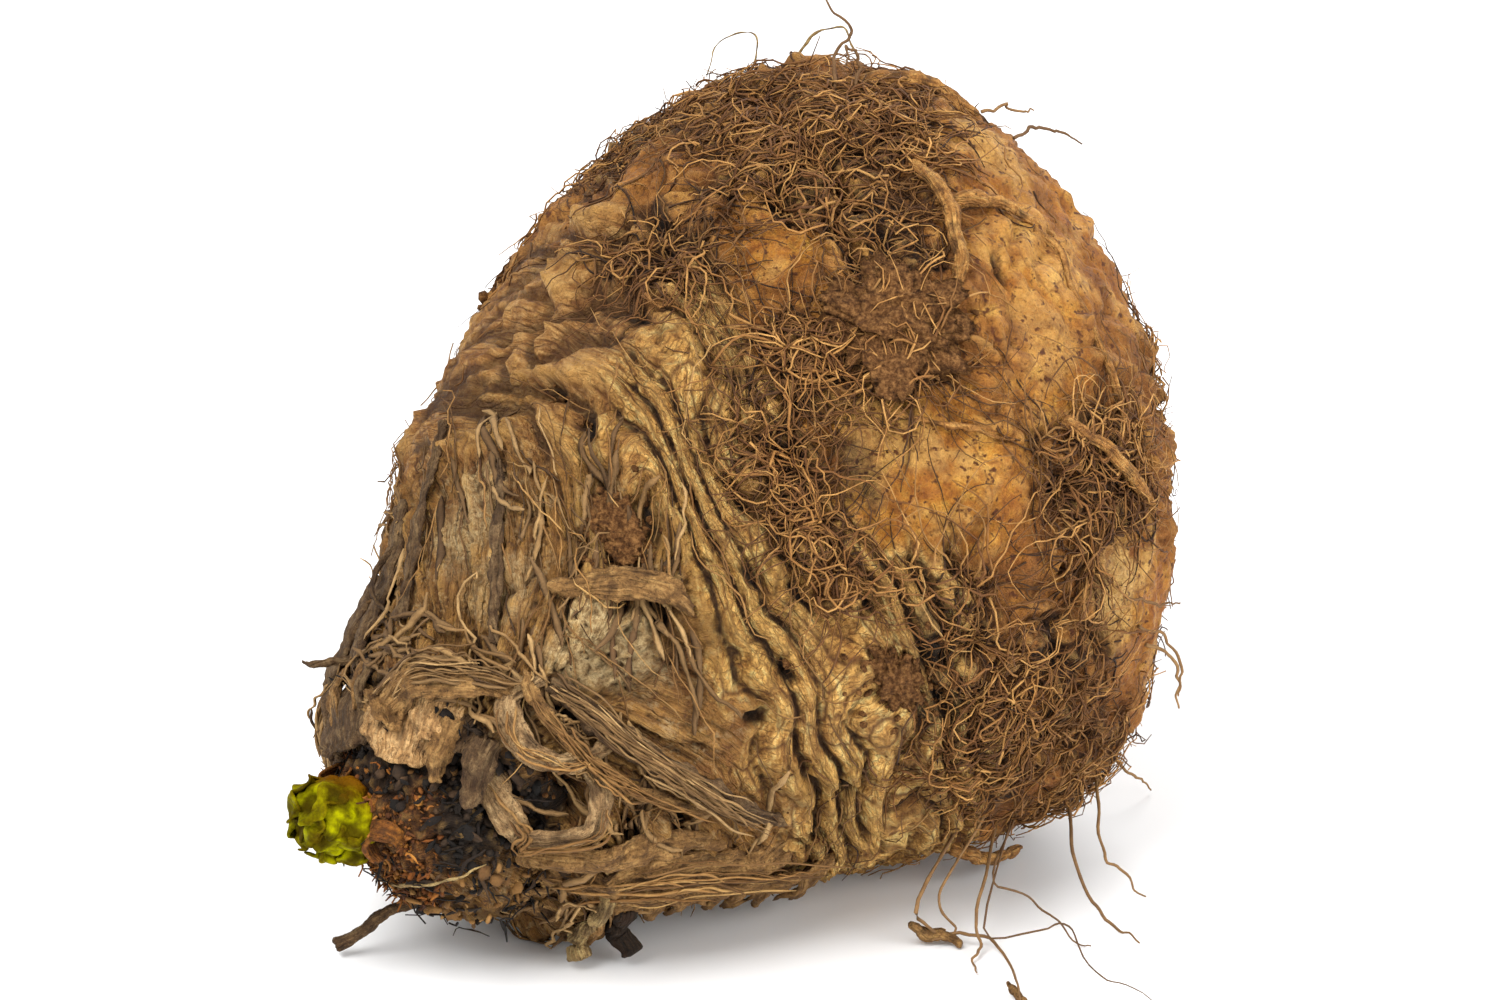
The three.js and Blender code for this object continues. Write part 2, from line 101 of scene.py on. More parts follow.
def deselectAll():
    if bpy.context.mode != "OBJECT":
        bpy.ops.object.mode_set(mode="OBJECT")
    bpy.ops.object.select_all(action="DESELECT")


def pick(piece):
    deselectAll()
    piece.select_set(True)
    bpy.context.view_layer.objects.active = piece


def applyModifiers(piece):
    pick(piece)
    for modifier in list(piece.modifiers):
        bpy.ops.object.modifier_apply(modifier=modifier.name)


def coordsOf(mesh):
    places = np.empty(len(mesh.vertices) * 3)
    mesh.vertices.foreach_get("co", places)
    return places.reshape(-1, 3)


def normalsOf(mesh):
    normals = np.empty(len(mesh.vertices) * 3)
    mesh.vertices.foreach_get("normal", normals)
    return normals.reshape(-1, 3)


def setCoords(mesh, places):
    mesh.vertices.foreach_set("co", np.asarray(places, float).ravel())
    mesh.update()


def setValues(mesh, name, values):
    # one number or one vector for each point
    kind, field = ("FLOAT", "value") if np.ndim(values) == 1 else ("FLOAT_VECTOR", "vector")
    attribute = mesh.attributes.get(name) or mesh.attributes.new(name, kind, "POINT")
    attribute.data.foreach_set(field, np.asarray(values, np.float32).ravel())


def newGrid(name, cells):
    # a sheet of cells across and lengthways, with each point's place from -1 to 1 and from 0 to 1
    deselectAll()
    bpy.ops.mesh.primitive_grid_add(x_subdivisions=cells[0], y_subdivisions=cells[1], size=2)
    piece = bpy.context.active_object
    piece.name = name
    grid = coordsOf(piece.data)
    return piece, grid[:, 0], (grid[:, 1] + 1) / 2


def newBall(name, subdivisions):
    deselectAll()
    bpy.ops.mesh.primitive_ico_sphere_add(subdivisions=subdivisions, radius=1)
    piece = bpy.context.active_object
    piece.name = name
    return piece, coordsOf(piece.data)


def columnsOf(*values):
    # arrays and plain numbers side by side, one row for each point
    return np.stack(np.broadcast_arrays(*values), -1)


def rowsAt(values, at):
    # rows of a table read between its rows
    return columnsOf(*(np.interp(at, np.arange(len(values)), column) for column in values.T))


def settle(piece, finish, node=None):
    piece.data.materials.append(finish)
    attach(piece, "root")
    if node:
        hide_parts(node)


# Shader groups shared by several finishes.
def newGroup(name, values, outputs):
    # a group that takes a vector and some numbers, and gives numbers
    group = bpy.data.node_groups.new(name, "ShaderNodeTree")
    group.interface.new_socket("Vector", in_out="INPUT", socket_type="NodeSocketVector")
    for label, value in values.items():
        group.interface.new_socket(label, in_out="INPUT", socket_type="NodeSocketFloat").default_value = value
    for label in outputs:
        group.interface.new_socket(label, in_out="OUTPUT", socket_type="NodeSocketFloat")
    return group, group.nodes.new("NodeGroupInput").outputs, group.nodes.new("NodeGroupOutput").inputs


def addNode(tree, kind, links=None, **settings):
    node = tree.nodes.new(kind)
    for key, value in settings.items():
        setattr(node, key, value)
    for socket, source in (links or {}).items():
        if isinstance(source, bpy.types.NodeSocket):
            tree.links.new(source, node.inputs[socket])
        else:
            node.inputs[socket].default_value = source
    return node


def treeOf(*sources):
    # the node tree that the first socket among the sources belongs to
    return next(source.id_data for source in sources if isinstance(source, bpy.types.NodeSocket))


def mathNode(operation, first, second, third=None, clamp=False):
    links = {0: first, 1: second}
    if third is not None:
        links[2] = third
    tree = treeOf(first, second)
    return addNode(tree, "ShaderNodeMath", links, operation=operation, use_clamp=clamp).outputs[0]


def vectorNode(operation, links):
    return addNode(treeOf(*links.values()), "ShaderNodeVectorMath", links, operation=operation).outputs[0]


def times(first, second, clamp=False):
    return mathNode("MULTIPLY", first, second, clamp=clamp)


def timesPlus(value, factor, offset):
    return mathNode("MULTIPLY_ADD", value, factor, offset)


def within(value, factor, offset):
    # the same, kept from 0 to 1
    return mathNode("MULTIPLY_ADD", value, factor, offset, clamp=True)


def larger(first, second):
    return mathNode("MAXIMUM", first, second)


def tone(red, green, blue):
    # a colour as a painter mixes it, 0 to 255, made linear
    shares = (c / 255 for c in (red, green, blue))
    return tuple(c / 12.92 if c <= 0.04 else ((c + 0.055) / 1.055) ** 2.4 for c in shares) + (1,)


def mixColours(share, first, second, blend="MIX"):
    # either colour may be a socket, or red, green and blue from 0 to 255
    colours = [tone(*colour) if isinstance(colour, tuple) else colour for colour in (first, second)]
    node = addNode(treeOf(share, *colours), "ShaderNodeMix", {0: share, 6: colours[0], 7: colours[1]},
                   data_type="RGBA", blend_type=blend)
    node.clamp_factor = True
    return node.outputs[2]


def rampNode(value, stops):
    # each stop is a place from 0 to 1, then red, green and blue from 0 to 255
    node = addNode(treeOf(value), "ShaderNodeValToRGB", {0: value})
    ramp = node.color_ramp
    while len(ramp.elements) < len(stops):
        ramp.elements.new(0.5)
    for element, (position, *shade) in zip(ramp.elements, stops):
        element.position = position
        element.color = tone(*shade)
    return node.outputs[0]


def noiseNode(spot, scale, detail=3.0, roughness=0.6):
    return addNode(treeOf(spot), "ShaderNodeTexNoise", {
        "Vector": spot, "Scale": scale, "Detail": detail, "Roughness": roughness}).outputs[0]


def edgeDistance(spot, scale):
    # how far each place is from the edge of its cell
    links = {"Vector": spot, "Scale": scale}
    cells = addNode(treeOf(spot), "ShaderNodeTexVoronoi", links, feature="DISTANCE_TO_EDGE")
    return cells.outputs["Distance"]


def makeFibreGrain():
    # long fibres that run with the grain: a mask of light strands and a height
    group, start, end = newGroup("fibreGrain", {"Across": 4.0, "Lengthways": 0.3}, ("Strands", "Height"))
    parts = addNode(group, "ShaderNodeSeparateXYZ", {0: start["Vector"]})
    x = times(parts.outputs[0], start["Across"])
    y = times(parts.outputs[1], start["Across"])
    z = times(parts.outputs[2], start["Lengthways"])
    spot = addNode(group, "ShaderNodeCombineXYZ", {0: x, 1: y, 2: z}).outputs[0]
    strands = noiseNode(spot, 1.0, 4.0, 0.62)
    crack = times(edgeDistance(spot, 0.8), 5.0, clamp=True)
    height = times(strands, crack)
    group.links.new(within(strands, 2.6, -0.8), end["Strands"])
    group.links.new(height, end["Height"])
    return group


def makeSoilDust():
    # crumbs and smears of soil: a ragged mask, and a fine gritty height
    group, start, end = newGroup("soilDust", {"Scale": 1.0, "Amount": 0.5}, ("Mask", "Height"))
    cloud = noiseNode(start["Vector"], start["Scale"], 6.0, 0.72)
    edge = mathNode("SUBTRACT", 1.0, start["Amount"])
    over = mathNode("SUBTRACT", cloud, edge)
    mask = within(over, 7.0, 0.5)
    finer = times(start["Scale"], 5.0)
    group.links.new(mask, end["Mask"])
    group.links.new(noiseNode(start["Vector"], finer, 3.0, 0.7), end["Height"])
    return group


def makeWrinkles():
    # a net of fine wrinkles: dark lines and a height
    group, start, end = newGroup("fineWrinkles", {"Scale": 1.0, "Warp": 0.6}, ("Lines", "Height"))
    bend = addNode(group, "ShaderNodeTexNoise", {
        "Vector": start["Vector"], "Scale": start["Scale"], "Detail": 2.0})
    moved = vectorNode("SCALE", {0: bend.outputs["Color"], "Scale": start["Warp"]})
    spot = vectorNode("ADD", {0: start["Vector"], 1: moved})
    line = times(edgeDistance(spot, start["Scale"]), 6.0, clamp=True)
    soft = noiseNode(start["Vector"], start["Scale"], 5.0, 0.65)
    group.links.new(mathNode("SUBTRACT", 1.0, line), end["Lines"])
    group.links.new(timesPlus(line, 0.4, soft), end["Height"])
    return group


fibreGrain = makeFibreGrain()
soilDust = makeSoilDust()
fineWrinkles = makeWrinkles()


def useGroup(group, **values):
    return addNode(treeOf(*values.values()), "ShaderNodeGroup", values, node_tree=group).outputs


def newMaterial(name, roughness=0.8, specular=0.3):
    material = bpy.data.materials.new(name)
    material.use_nodes = True
    tree = material.node_tree
    tree.nodes.clear()
    surface = tree.nodes.new("ShaderNodeBsdfPrincipled")
    surface.inputs["Roughness"].default_value = roughness
    surface.inputs["Specular IOR Level"].default_value = specular
    output = tree.nodes.new("ShaderNodeOutputMaterial")
    tree.links.new(surface.outputs[0], output.inputs[0])
    return material, tree, surface


def attributeValue(tree, name, vector=False):
    node = addNode(tree, "ShaderNodeAttribute", attribute_name=name)
    return node.outputs["Vector" if vector else "Fac"]


def spotInMm(tree):
    return vectorNode("SCALE", {0: addNode(tree, "ShaderNodeTexCoord").outputs["Object"], "Scale": 1000.0})


def bumpFrom(tree, surface, height, distance, strength=1.0):
    links = {"Height": height, "Distance": distance * mm, "Strength": strength}
    tree.links.new(addNode(tree, "ShaderNodeBump", links).outputs[0], surface.inputs["Normal"])


# Corm: the swollen body, remeshed fine from its solid.
corm = {
    "voxel": 0.34 * mm,
    "rounding": 30,
    "faces": 184000,       # left after thinning
    "scarPitch": 2.3,      # mm between the ridges left by old leaf bases
    "scarHeight": 2.1,
    "slabs": 62,           # strips of dry bark around the neck
    "slabHeight": 1.15,
    "swirl": 2.65,         # degrees round the neck for each mm along it that its bark turns
    # at these angles: how the rings bend, and how many mm later the scars and the bark begin
    "ringAngle": [0, 69, 95, 110, 129, 140, 150, 161, 172, 190, 215, 250, 300, 360],
    "ringBy": [-1, -0.6, 0.2, 0, -0.9, -2.5, -4.2, -7, -9.4, -11.5, -11, -7, -3, -1],
    "scarFrom": [0, 0, -1.5, -2.5, 3.5, 2.5, 0.5, 0, 0, 0, 0, 0, 0, 0],
    "barkFrom": [0, 0, 0, 0, 0, 0, 0, 1, 4.5, 7.5, 7.5, 4, 1, 0],
    "scarStart": (10.5, 13.5),     # mm along the axis, from the first trace to the whole
    "barkStart": (25.2, 28.5),
    "trenchStart": (33, 36),       # the sunken crown inside the rim
    "trenchRadius": (10.6, 12.6),
    "heart": (-0.4, -2.4, 48.0),   # the sprout's root, in the plant's own axes
    "heartReach": (7.4, 10.2),
}

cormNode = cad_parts["corm"]
pick(cormNode)
bpy.ops.object.duplicate()
cormSkin = bpy.context.active_object
cormSkin.name = "cormSkin"
cormSkin.parent = None
for key in list(cormSkin.keys()):
    del cormSkin[key]
cormSkin.data.materials.clear()
bpy.ops.object.mode_set(mode="EDIT")
bpy.ops.mesh.select_all(action="SELECT")
bpy.ops.mesh.remove_doubles(threshold=0.00001)
bpy.ops.object.mode_set(mode="OBJECT")
remesh = cormSkin.modifiers.new("remesh", "REMESH")
remesh.mode = "VOXEL"
remesh.voxel_size = corm["voxel"]
rounding = cormSkin.modifiers.new("rounding", "SMOOTH")
rounding.factor = 0.5
rounding.iterations = corm["rounding"]
applyModifiers(cormSkin)
bpy.ops.object.shade_smooth()
for uvMap in list(cormSkin.data.uv_layers):
    cormSkin.data.uv_layers.remove(uvMap)
restTree = BVHTree.FromObject(cormSkin, bpy.context.evaluated_depsgraph_get())

# Mats of fine rootlets: along, angle, size along and around in mm, how many rootlets, and how much they bend.
rootMats = {
    "rootMat1": (-13, 165, 25, 29, 660, 0.17),
    "rootMat2": (3.5, 180, 9, 10, 110, 0.14),
    "rootMat3": (4, 141, 13, 16, 310, 0.15),
    "rootMat4": (-6, 102, 15, 14.5, 235, 0.16),
    "rootMat5": (8.5, 78, 16, 19, 310, 0.2),
    "rootMat6": (-14, 214, 21, 26, 200, 0.17),
    "rootMat7": (-4, 262, 23, 28, 200, 0.17),
    "rootMat8": (-16, 312, 23, 28, 200, 0.18),
    "rootMat9": (-3, 42, 22, 25, 260, 0.2),
    "rootMat10": (-28, 236, 12, 18, 120, 0.16),
    "rootMat11": (-25.4, 84, 10, 14, 60, 0.16),
    "bandMat": (12.9, 141, 4.4, 7, 90, 0.2),
    "bandMat2": (15.2, 131, 4.4, 7, 80, 0.2),
    "bandMat3": (16.4, 120, 4, 6, 50, 0.2),
    "ribMat": (9.6, 104, 7, 9, 50, 0.1),
}

# Slits, pits and hollows: along, angle, half sizes along and around, and depth, in mm.
hollows = [
    (21.7, 151, 0.5, 1.7, 1.5), (25.4, 149, 0.5, 2, 1.5), (23.2, 160, 0.6, 1.2, 1.4),
    (16.8, 142, 0.3, 1.6, 1.3), (18.9, 121, 0.3, 2.2, 1.4), (15.6, 112, 0.3, 1.8, 1.3),
    (11.4, 110, 0.3, 1.6, 1.2), (10.2, 104, 0.3, 1.4, 1.2), (20.4, 130, 0.35, 1.6, 1.5),
    (22.5, 108, 0.35, 1.3, 1.4), (25.8, 102, 0.6, 0.7, 1.8), (22.1, 74, 0.9, 0.9, 1.4), (24, 60, 0.35, 1, 1),
    (18.6, 48, 0.35, 1.2, 1), (23.6, 152, 1.6, 2.4, 1.2), (18.2, 172, 0.9, 1.2, 1.3),
    (26.1, 135, 0.9, 1.6, 1.6), (-9.4, 164, 1, 4.2, 1.5), (-3.6, 154, 0.9, 3.2, 1.4), (16.2, 95, 1.6, 2, 0.8),
    (20, 300, 0.4, 2, 1.4), (24, 250, 0.4, 1.6, 1.3), (17, 20, 0.4, 1.6, 1.2), (22, 340, 0.4, 1.8, 1.2),
    (12, 205, 0.5, 1.3, 1.1), (15, 270, 0.5, 1.4, 1.2), (18, 230, 0.4, 2, 1.2), (37.8, 152, 0.8, 4.4, 1.6),
    (35.4, 77, 0.5, 1.6, 1.6), (32.6, 74, 0.5, 2.4, 1.5), (38.7, 103, 1.5, 2.7, 2.4),
    (39.6, 97, 0.6, 0.8, 1.8), (-14, 178, 1.1, 2.2, 1.3), (35.4, 122, 1.3, 2.2, 1.2),
    (37.9, 72, 0.7, 1.6, 1.6), (0.6, 184, 0.9, 2.6, 1.5), (-4.2, 166, 0.9, 2.2, 1.6),
    (-5.2, 149, 1.1, 1.5, 1.7), (-2.4, 106, 1.4, 1.6, 1.6), (10.8, 96, 1.2, 1.3, 1.3),
    (9.2, 176, 0.8, 2.2, 1.2), (0.6, 79, 0.7, 2, 1.3), (25.2, 158, 0.5, 1, 1.2), (27, 142, 0.5, 1.1, 1.2),
    (21.4, 162, 0.35, 0.8, 1), (24.6, 140, 0.4, 0.9, 1), (16.4, 184, 0.7, 1.2, 1.2),
    (13.3, 98, 1.3, 1.7, 1.3), (14, 88, 0.7, 2.2, 1.2), (4.5, 84, 0.7, 2.8, 1.2), (2.4, 147, 0.8, 1.9, 1.1),
    (-5.6, 103, 1, 2.4, 1.2), (12.6, 138, 1, 1.7, 1.2), (-10.9, 133, 0.5, 1.2, 1), (-8.6, 160, 0.8, 2.4, 1.3),
    (3.2, 178, 0.9, 2.2, 1.2),
]

# Patches of clean, woolly, pale and mossy skin, and of dark soil with painted shade in the gaps under the
# mats: along, angle, half sizes in mm, strength.
barePatches = [
    (-0.6, 163, 3.8, 4.6, 1), (8, 204, 7, 6.5, 0.8), (15, 186, 5, 5, 0.6), (-20, 146, 6.5, 6, 1),
    (-15, 128, 8, 7.6, 1), (-9, 117, 5, 5.4, 1), (5.2, 121, 6.6, 9, 1), (8.8, 131, 3.4, 5, 1),
    (9.6, 122, 4, 5.5, 1), (-5.2, 84, 4.4, 5.6, 1), (-7.5, 68, 6, 8, 1), (-7, 50, 6, 8, 0.9),
    (24, 50, 6, 6, 0.4), (-26, 110, 6, 9, 0.9), (2, 236, 6, 5, 0.8), (-18, 284, 6, 7, 0.9),
    (8, 300, 6, 6, 0.7), (-20, 20, 6, 7, 0.8), (8, 10, 5, 6, 0.7), (-30, 330, 6, 8, 0.7),
    (-33, 200, 4, 7, 0.7),
]
woolPatches = [
    (30.2, 135, 3.6, 4.2, 1), (-2.4, 88, 3.2, 3.8, 0.16), (27, 186, 4.5, 3, 0.6), (31, 166, 2.6, 3, 0.4),
    (30, 260, 4, 4, 0.5), (32, 20, 3, 3, 0.4),
]
gapShadeAndSoilPatches = [
    (-7.4, 166, 3.4, 6, 0.95), (-6.1, 150, 2.2, 5, 0.95), (2.1, 146, 2.6, 3, 0.9), (-5.8, 102, 3.4, 4, 0.85),
    (2.8, 180, 3.6, 4.6, 0.8), (13.1, 98, 2.4, 3.4, 0.95), (13.9, 89, 2, 3.2, 0.9), (4.5, 84, 1.8, 4.6, 0.85),
    (12.6, 138, 3, 5, 0.8), (23.6, 156, 2.6, 3.4, 0.7), (9, 62, 3, 5, 0.6), (-12, 214, 4, 6, 0.7),
    (-4, 262, 4, 6, 0.7), (-16, 312, 4, 6, 0.7), (0, 36, 4, 5, 0.6),
]
palePatches = [
    (-3, 87, 4.2, 5, 0.85), (6.8, 131, 3.4, 4.6, 0.6), (-16.6, 127, 4.6, 5, 0.35), (-23.3, 145, 3.6, 4, 0.6),
    (-10, 122, 4, 5, 0.45), (-13, 196, 4, 5, 0.3), (-12, 52, 5, 6, 0.5), (-26, 300, 5, 6, 0.5),
    (-22, 250, 5, 5, 0.4),
]
mossPatches = [
    (22.1, 78, 3, 3, 0.3), (22, 138, 2.5, 4, 0.25), (20, 128, 2, 4, 0.25), (-7, 170, 5, 6, 0.2),
    (22, 62, 3, 3, 0.2), (23, 160, 2.5, 3, 0.25), (24, 118, 2.5, 4, 0.25), (18, 196, 4, 4, 0.25),
]

restPlaces = coordsOf(cormSkin.data)
restNormals = normalsOf(cormSkin.data)
along, angle, radius = spotsOf(restPlaces)
inMm = restPlaces * 1000
turn = np.radians(angle)
level = along - np.interp(angle, corm["ringAngle"], corm["ringBy"])


def billowOf(points, seed, octaves=3):
    # rounded bumps that meet in creases
    return np.abs(noiseOf(points, seed, octaves)) * 2 - 0.5


def asideFrom(spotAngle):
    # how many mm round the corm each point lies from an angle
    return np.radians(turnGap(angle, spotAngle)) * np.maximum(radius, 6)


def facing(spotAngle, far, near):
    # 1 within near degrees of an angle, 0 from far degrees on
    return smoothStep(-np.abs(turnGap(angle, spotAngle)), -far, -near)


def patchOf(patches, ragged):
    total = np.zeros(len(restPlaces))
    for patchAlong, patchAngle, length, breadth, strength in patches:
        reach = np.hypot((along - patchAlong) / length, asideFrom(patchAngle) / breadth) + ragged
        total = np.maximum(total, strength * (1 - smoothStep(reach, 0.65, 1.2)))
    return total


broad = noiseOf(inMm / 9, 1, 2)
edgeNoise = noiseOf(inMm / 3.2, 2, 3)
bare = patchOf(barePatches, edgeNoise * 0.5)
wool = patchOf(woolPatches, edgeNoise * 0.4)
moss = patchOf(mossPatches, edgeNoise * 0.5)
pale = patchOf(palePatches, edgeNoise * 0.7)
barkFrom, scarFrom = (np.interp(angle, corm["ringAngle"], corm[key]) for key in ("barkFrom", "scarFrom"))
trenchMask = (1 - smoothStep(radius, *corm["trenchRadius"])) * smoothStep(along, *corm["trenchStart"])
neckMask = smoothStep(level - barkFrom + broad * 3 + edgeNoise, *corm["barkStart"])
bulgeMask = smoothStep(angle, 166, 182) * (1 - smoothStep(angle, 222, 240)) * smoothStep(level, 8, 14)
bulgeMask = bulgeMask * (1 - neckMask)
scarMask = smoothStep(level - scarFrom + broad * 3 + edgeNoise * 1.5, *corm["scarStart"]) * (1 - neckMask)
scarMask = scarMask * (1 - bulgeMask)
# painted shade, with dark soil, in the sunken crown: weaker towards its lower side
trenchShade = 1 - 0.8 * facing(12, 80, 50) * smoothStep(radius, 3, 6)
sproutSpot = middleArray + turnArray @ np.array(corm["heart"]) * mm
heartReach = np.linalg.norm(restPlaces - sproutSpot, axis=1) * 1000 + edgeNoise * 2
heartShare = trenchMask * (1 - smoothStep(heartReach, *corm["heartReach"]))
heartShare *= 1 - 0.9 * facing(183, 40, 25) * smoothStep(radius, 4.5, 5.5)
frontShare = 0.5 + 0.5 * facing(120, 90, 60)
matShares = {}
for name, (matAlong, matAngle, length, breadth, *_) in rootMats.items():
    reach = np.hypot((along - matAlong) / (length / 2), asideFrom(matAngle) / (breadth / 2))
    matShares[name] = (1 - smoothStep(reach + edgeNoise * 0.6, 0.75, 1.15)) * (1 - bare * 0.93)
matMask = np.max(list(matShares.values()), axis=0)
# dark soil with painted shade in the gaps of the rootlet mats
matGapShadeAndSoil = 0.7 * matMask * smoothStep(-broad - edgeNoise, 0.05, 0.4)
gloom = np.clip(patchOf(gapShadeAndSoilPatches, edgeNoise * 0.9) + matGapShadeAndSoil, 0, 1)
scarMask *= 1 - 0.8 * np.max([matShares[f"bandMat{i}"] for i in ("", 2, 3)], axis=0)

# Fibres of the neck turn round it at the front, and run slantwise under the hollow leaf bases.
swirl = np.cos(np.clip(turnGap(angle, 175) / 100, -1, 1) * math.pi / 2) ** 2
bark = angle + corm["swirl"] * swirl * (along - 28)
slant = along - 0.127 * (angle - 133)
slantShare = smoothStep(angle, 22, 45) * (1 - smoothStep(angle, 120, 138)) * smoothStep(level, 21, 26)
barkGrain = columnsOf(np.cos(np.radians(bark)) * 20, np.sin(np.radians(bark)) * 20, along)
slantGrain = columnsOf(slant * 1.2, 30, angle * 0.27)
grain = barkGrain + (slantGrain - barkGrain) * slantShare[:, None]

# Rings of leaf scars: rounded ridges around the corm, each broken into pieces of its own height.
ringGrain = columnsOf(np.cos(turn) * 26, np.sin(turn) * 26, level * 3)
calmGrain = columnsOf(np.cos(turn) * 26, np.sin(turn) * 26, level)
ringLevel = level + noiseOf(calmGrain / 13, 3, 2) * 3.0 + noiseOf(calmGrain / 4.5, 4, 2) * 0.55
ringLevel = ringLevel + 0.7 * np.sin(level * 0.8 + 1)
rings = ringLevel / corm["scarPitch"]
ring = np.floor(rings)
acrossRing = rings - ring
pieces = angle / 360 * 12 + chanceOf(ring) * 9 + broad * 1.2
ringPiece = np.floor(pieces)
ringHeight = 0.55 + 0.45 * chanceOf(ring, ringPiece)
ringBreak = smoothStep(np.minimum(pieces - ringPiece, 1 - pieces + ringPiece), 0, 0.1) * 0.3 + 0.7
scars = smoothStep(acrossRing, 0, 0.24) * (1 - 0.85 * smoothStep(acrossRing, 0.6, 1)) * ringHeight * ringBreak
ringFibres = billowOf(ringGrain / [8, 8, 1.9], 14, 3)


def slabRelief(across, lengthways):
    # strips of bark, each broken into lengths that overlap and tip a little
    strip = np.floor(across)
    inside = across - strip
    lengths = (lengthways + chanceOf(strip) * 30) / (3.5 + 6 * chanceOf(strip, 3.0))
    piece = np.floor(lengths)
    up = chanceOf(strip, piece + 11)
    ends = smoothStep(np.minimum(lengths - piece, 1 - lengths + piece), 0, 0.1)
    return ((1 - np.abs(2 * inside - 1) ** 3) * (0.2 + 0.8 * up) * (0.3 + 0.7 * ends)
            + (inside - 0.5) * (chanceOf(strip, 5.0) - 0.5) * 0.9)


barkWaves = noiseOf(grain / [9, 9, 13], 11, 2) * 1.6 + noiseOf(grain / [3, 3, 8], 12, 2) * 0.6
slabs = slabRelief(bark / 360 * corm["slabs"] + barkWaves, along)
slabs += (slabRelief(slant / 1.3 + barkWaves, angle * 0.27) - slabs) * slantShare
fibres = billowOf(grain / [1.1, 1.1, 9], 6, 3)
flakes = billowOf(grain / [2.6, 2.6, 4.5], 15, 3)
lumps = noiseOf(inMm / 6.5, 9, 3)
folds = billowOf(inMm / 3.8 + broad[:, None] * 0.6, 8, 2)
bumps = billowOf(inMm / 1.7, 7, 2)
clumps = 0.5 - np.abs(noiseOf(inMm / 2.2, 13, 3)) * 1.8
crust = billowOf(inMm / 1.15, 17, 2)
grit = noiseOf(inMm / 0.9, 10, 2)

plainMask = np.clip(1 - neckMask - scarMask, 0, 1)
height = lumps * 0.5
height += scarMask * frontShare * (scars - 0.5) * corm["scarHeight"] * (0.8 + broad * 0.7)
height += scarMask * (ringFibres * 0.42 + crust * 0.16 + clumps * 0.2 + grit * 0.1)
height += neckMask * ((slabs - 0.45) * corm["slabHeight"] + fibres * 0.32 + flakes * 0.4 + grit * 0.08)
creases = billowOf(columnsOf(turn * 26 / 12, level / 4.2, 0) + broad[:, None] * 0.5, 16, 1)
wrinkled = billowOf(columnsOf(turn * 26 / 6, level / 1.3, 0) + broad[:, None] * 0.7, 18, 3)
plainRelief = folds * (0.75 - 0.25 * bare) + bumps * (0.3 - 0.12 * bare)
plainRelief = plainRelief + crust * (0.14 - 0.08 * bare) + grit * 0.05
height += plainMask * (1 - bulgeMask) * plainRelief
calmer = 1 - 0.7 * smoothStep(angle, 200, 214)
height += bulgeMask * ((creases * 2.8 - 0.5) * calmer + wrinkled * 0.75 + bumps * 0.2 + crust * 0.16)
height += matMask * plainMask * (clumps * 0.7 + grit * 0.25 - 0.3)
height += wool * (bumps * 0.3 + 0.25)
hollowMask = np.zeros(len(restPlaces))
for hollowAlong, hollowAngle, length, breadth, depth in hollows:
    offset = level - hollowAlong + np.interp(hollowAngle, corm["ringAngle"], corm["ringBy"]) - edgeNoise * 0.2
    well = np.hypot(offset / length, (asideFrom(hollowAngle) + edgeNoise * 0.5) / breadth)
    well = np.exp(-(well ** 4) * 0.9)
    height -= depth * well * (radius > 8)
    hollowMask = np.maximum(hollowMask, well ** 2)

edges = np.empty(len(cormSkin.data.edges) * 2, np.int32)
cormSkin.data.edges.foreach_get("vertices", edges)
edges = edges.reshape(-1, 2)
degree = np.bincount(edges.ravel(), minlength=len(restPlaces))


def nearTo(spotAlong, spotAngle, reach):
    return np.exp(-((along - spotAlong) ** 2 + asideFrom(spotAngle) ** 2) / reach ** 2)


def spread(values, rounds):
    for _ in range(rounds):
        total = np.bincount(edges[:, 0], values[edges[:, 1]], len(values))
        total += np.bincount(edges[:, 1], values[edges[:, 0]], len(values))
        values = (values + total / degree) / 2
    return values


height += nearTo(16.5, 210, 4.5) * 0.7 - nearTo(23, 216, 3) * 0.7 - nearTo(-5, 213, 7) * 0.5
height += nearTo(1.5, 47, 6) * 1.4 - nearTo(-20, 116, 9) * 0.9 - nearTo(-14, 100, 7) * 0.5
height += (spread(height, 1) - height) * scarMask + (spread(height, 2) - height) * bulgeMask
height += (scarMask + bulgeMask) * (crust * 0.12 + grit * 0.06)
height = height * (1 - trenchMask) + trenchMask * (grit * 0.6 + clumps * 0.5)
# crest: how far each point stands above or below its surroundings, painted as highlight and shade
crest = height - spread(height, 14) + bulgeMask * (creases * 1.1 - 0.05)
skinPlaces = restPlaces + restNormals * (height * mm)[:, None]
skinPlaces[:, 2] = np.maximum(skinPlaces[:, 2], 0)
reliefPlaces = restPlaces + restNormals * (spread(height, 6) * mm)[:, None]
reliefPlaces[:, 2] = np.maximum(reliefPlaces[:, 2], 0)
faces = [tuple(face.vertices) for face in cormSkin.data.polygons]
reliefTree = BVHTree.FromPolygons(reliefPlaces.tolist(), faces)
setCoords(cormSkin.data, skinPlaces)
for name, values in {
    "neck": neckMask, "scar": np.clip(scarMask + bulgeMask * 0.35, 0, 1), "mat": matMask * plainMask,
    "hollow": hollowMask, "trench": trenchMask * trenchShade, "heart": heartShare, "bulge": bulgeMask,
    "crest": np.clip(crest / 0.7 * 0.5 + 0.5, 0, 1), "bare": bare, "pale": pale, "wool": wool, "moss": moss,
    "gloom": gloom, "grain": grain, "ringwise": columnsOf(ringLevel, lumps, turn * 26),
}.items():
    setValues(cormSkin.data, name, values)
thinning = cormSkin.modifiers.new("thinning", "DECIMATE")
thinning.ratio = corm["faces"] / (2 * len(faces))
applyModifiers(cormSkin)
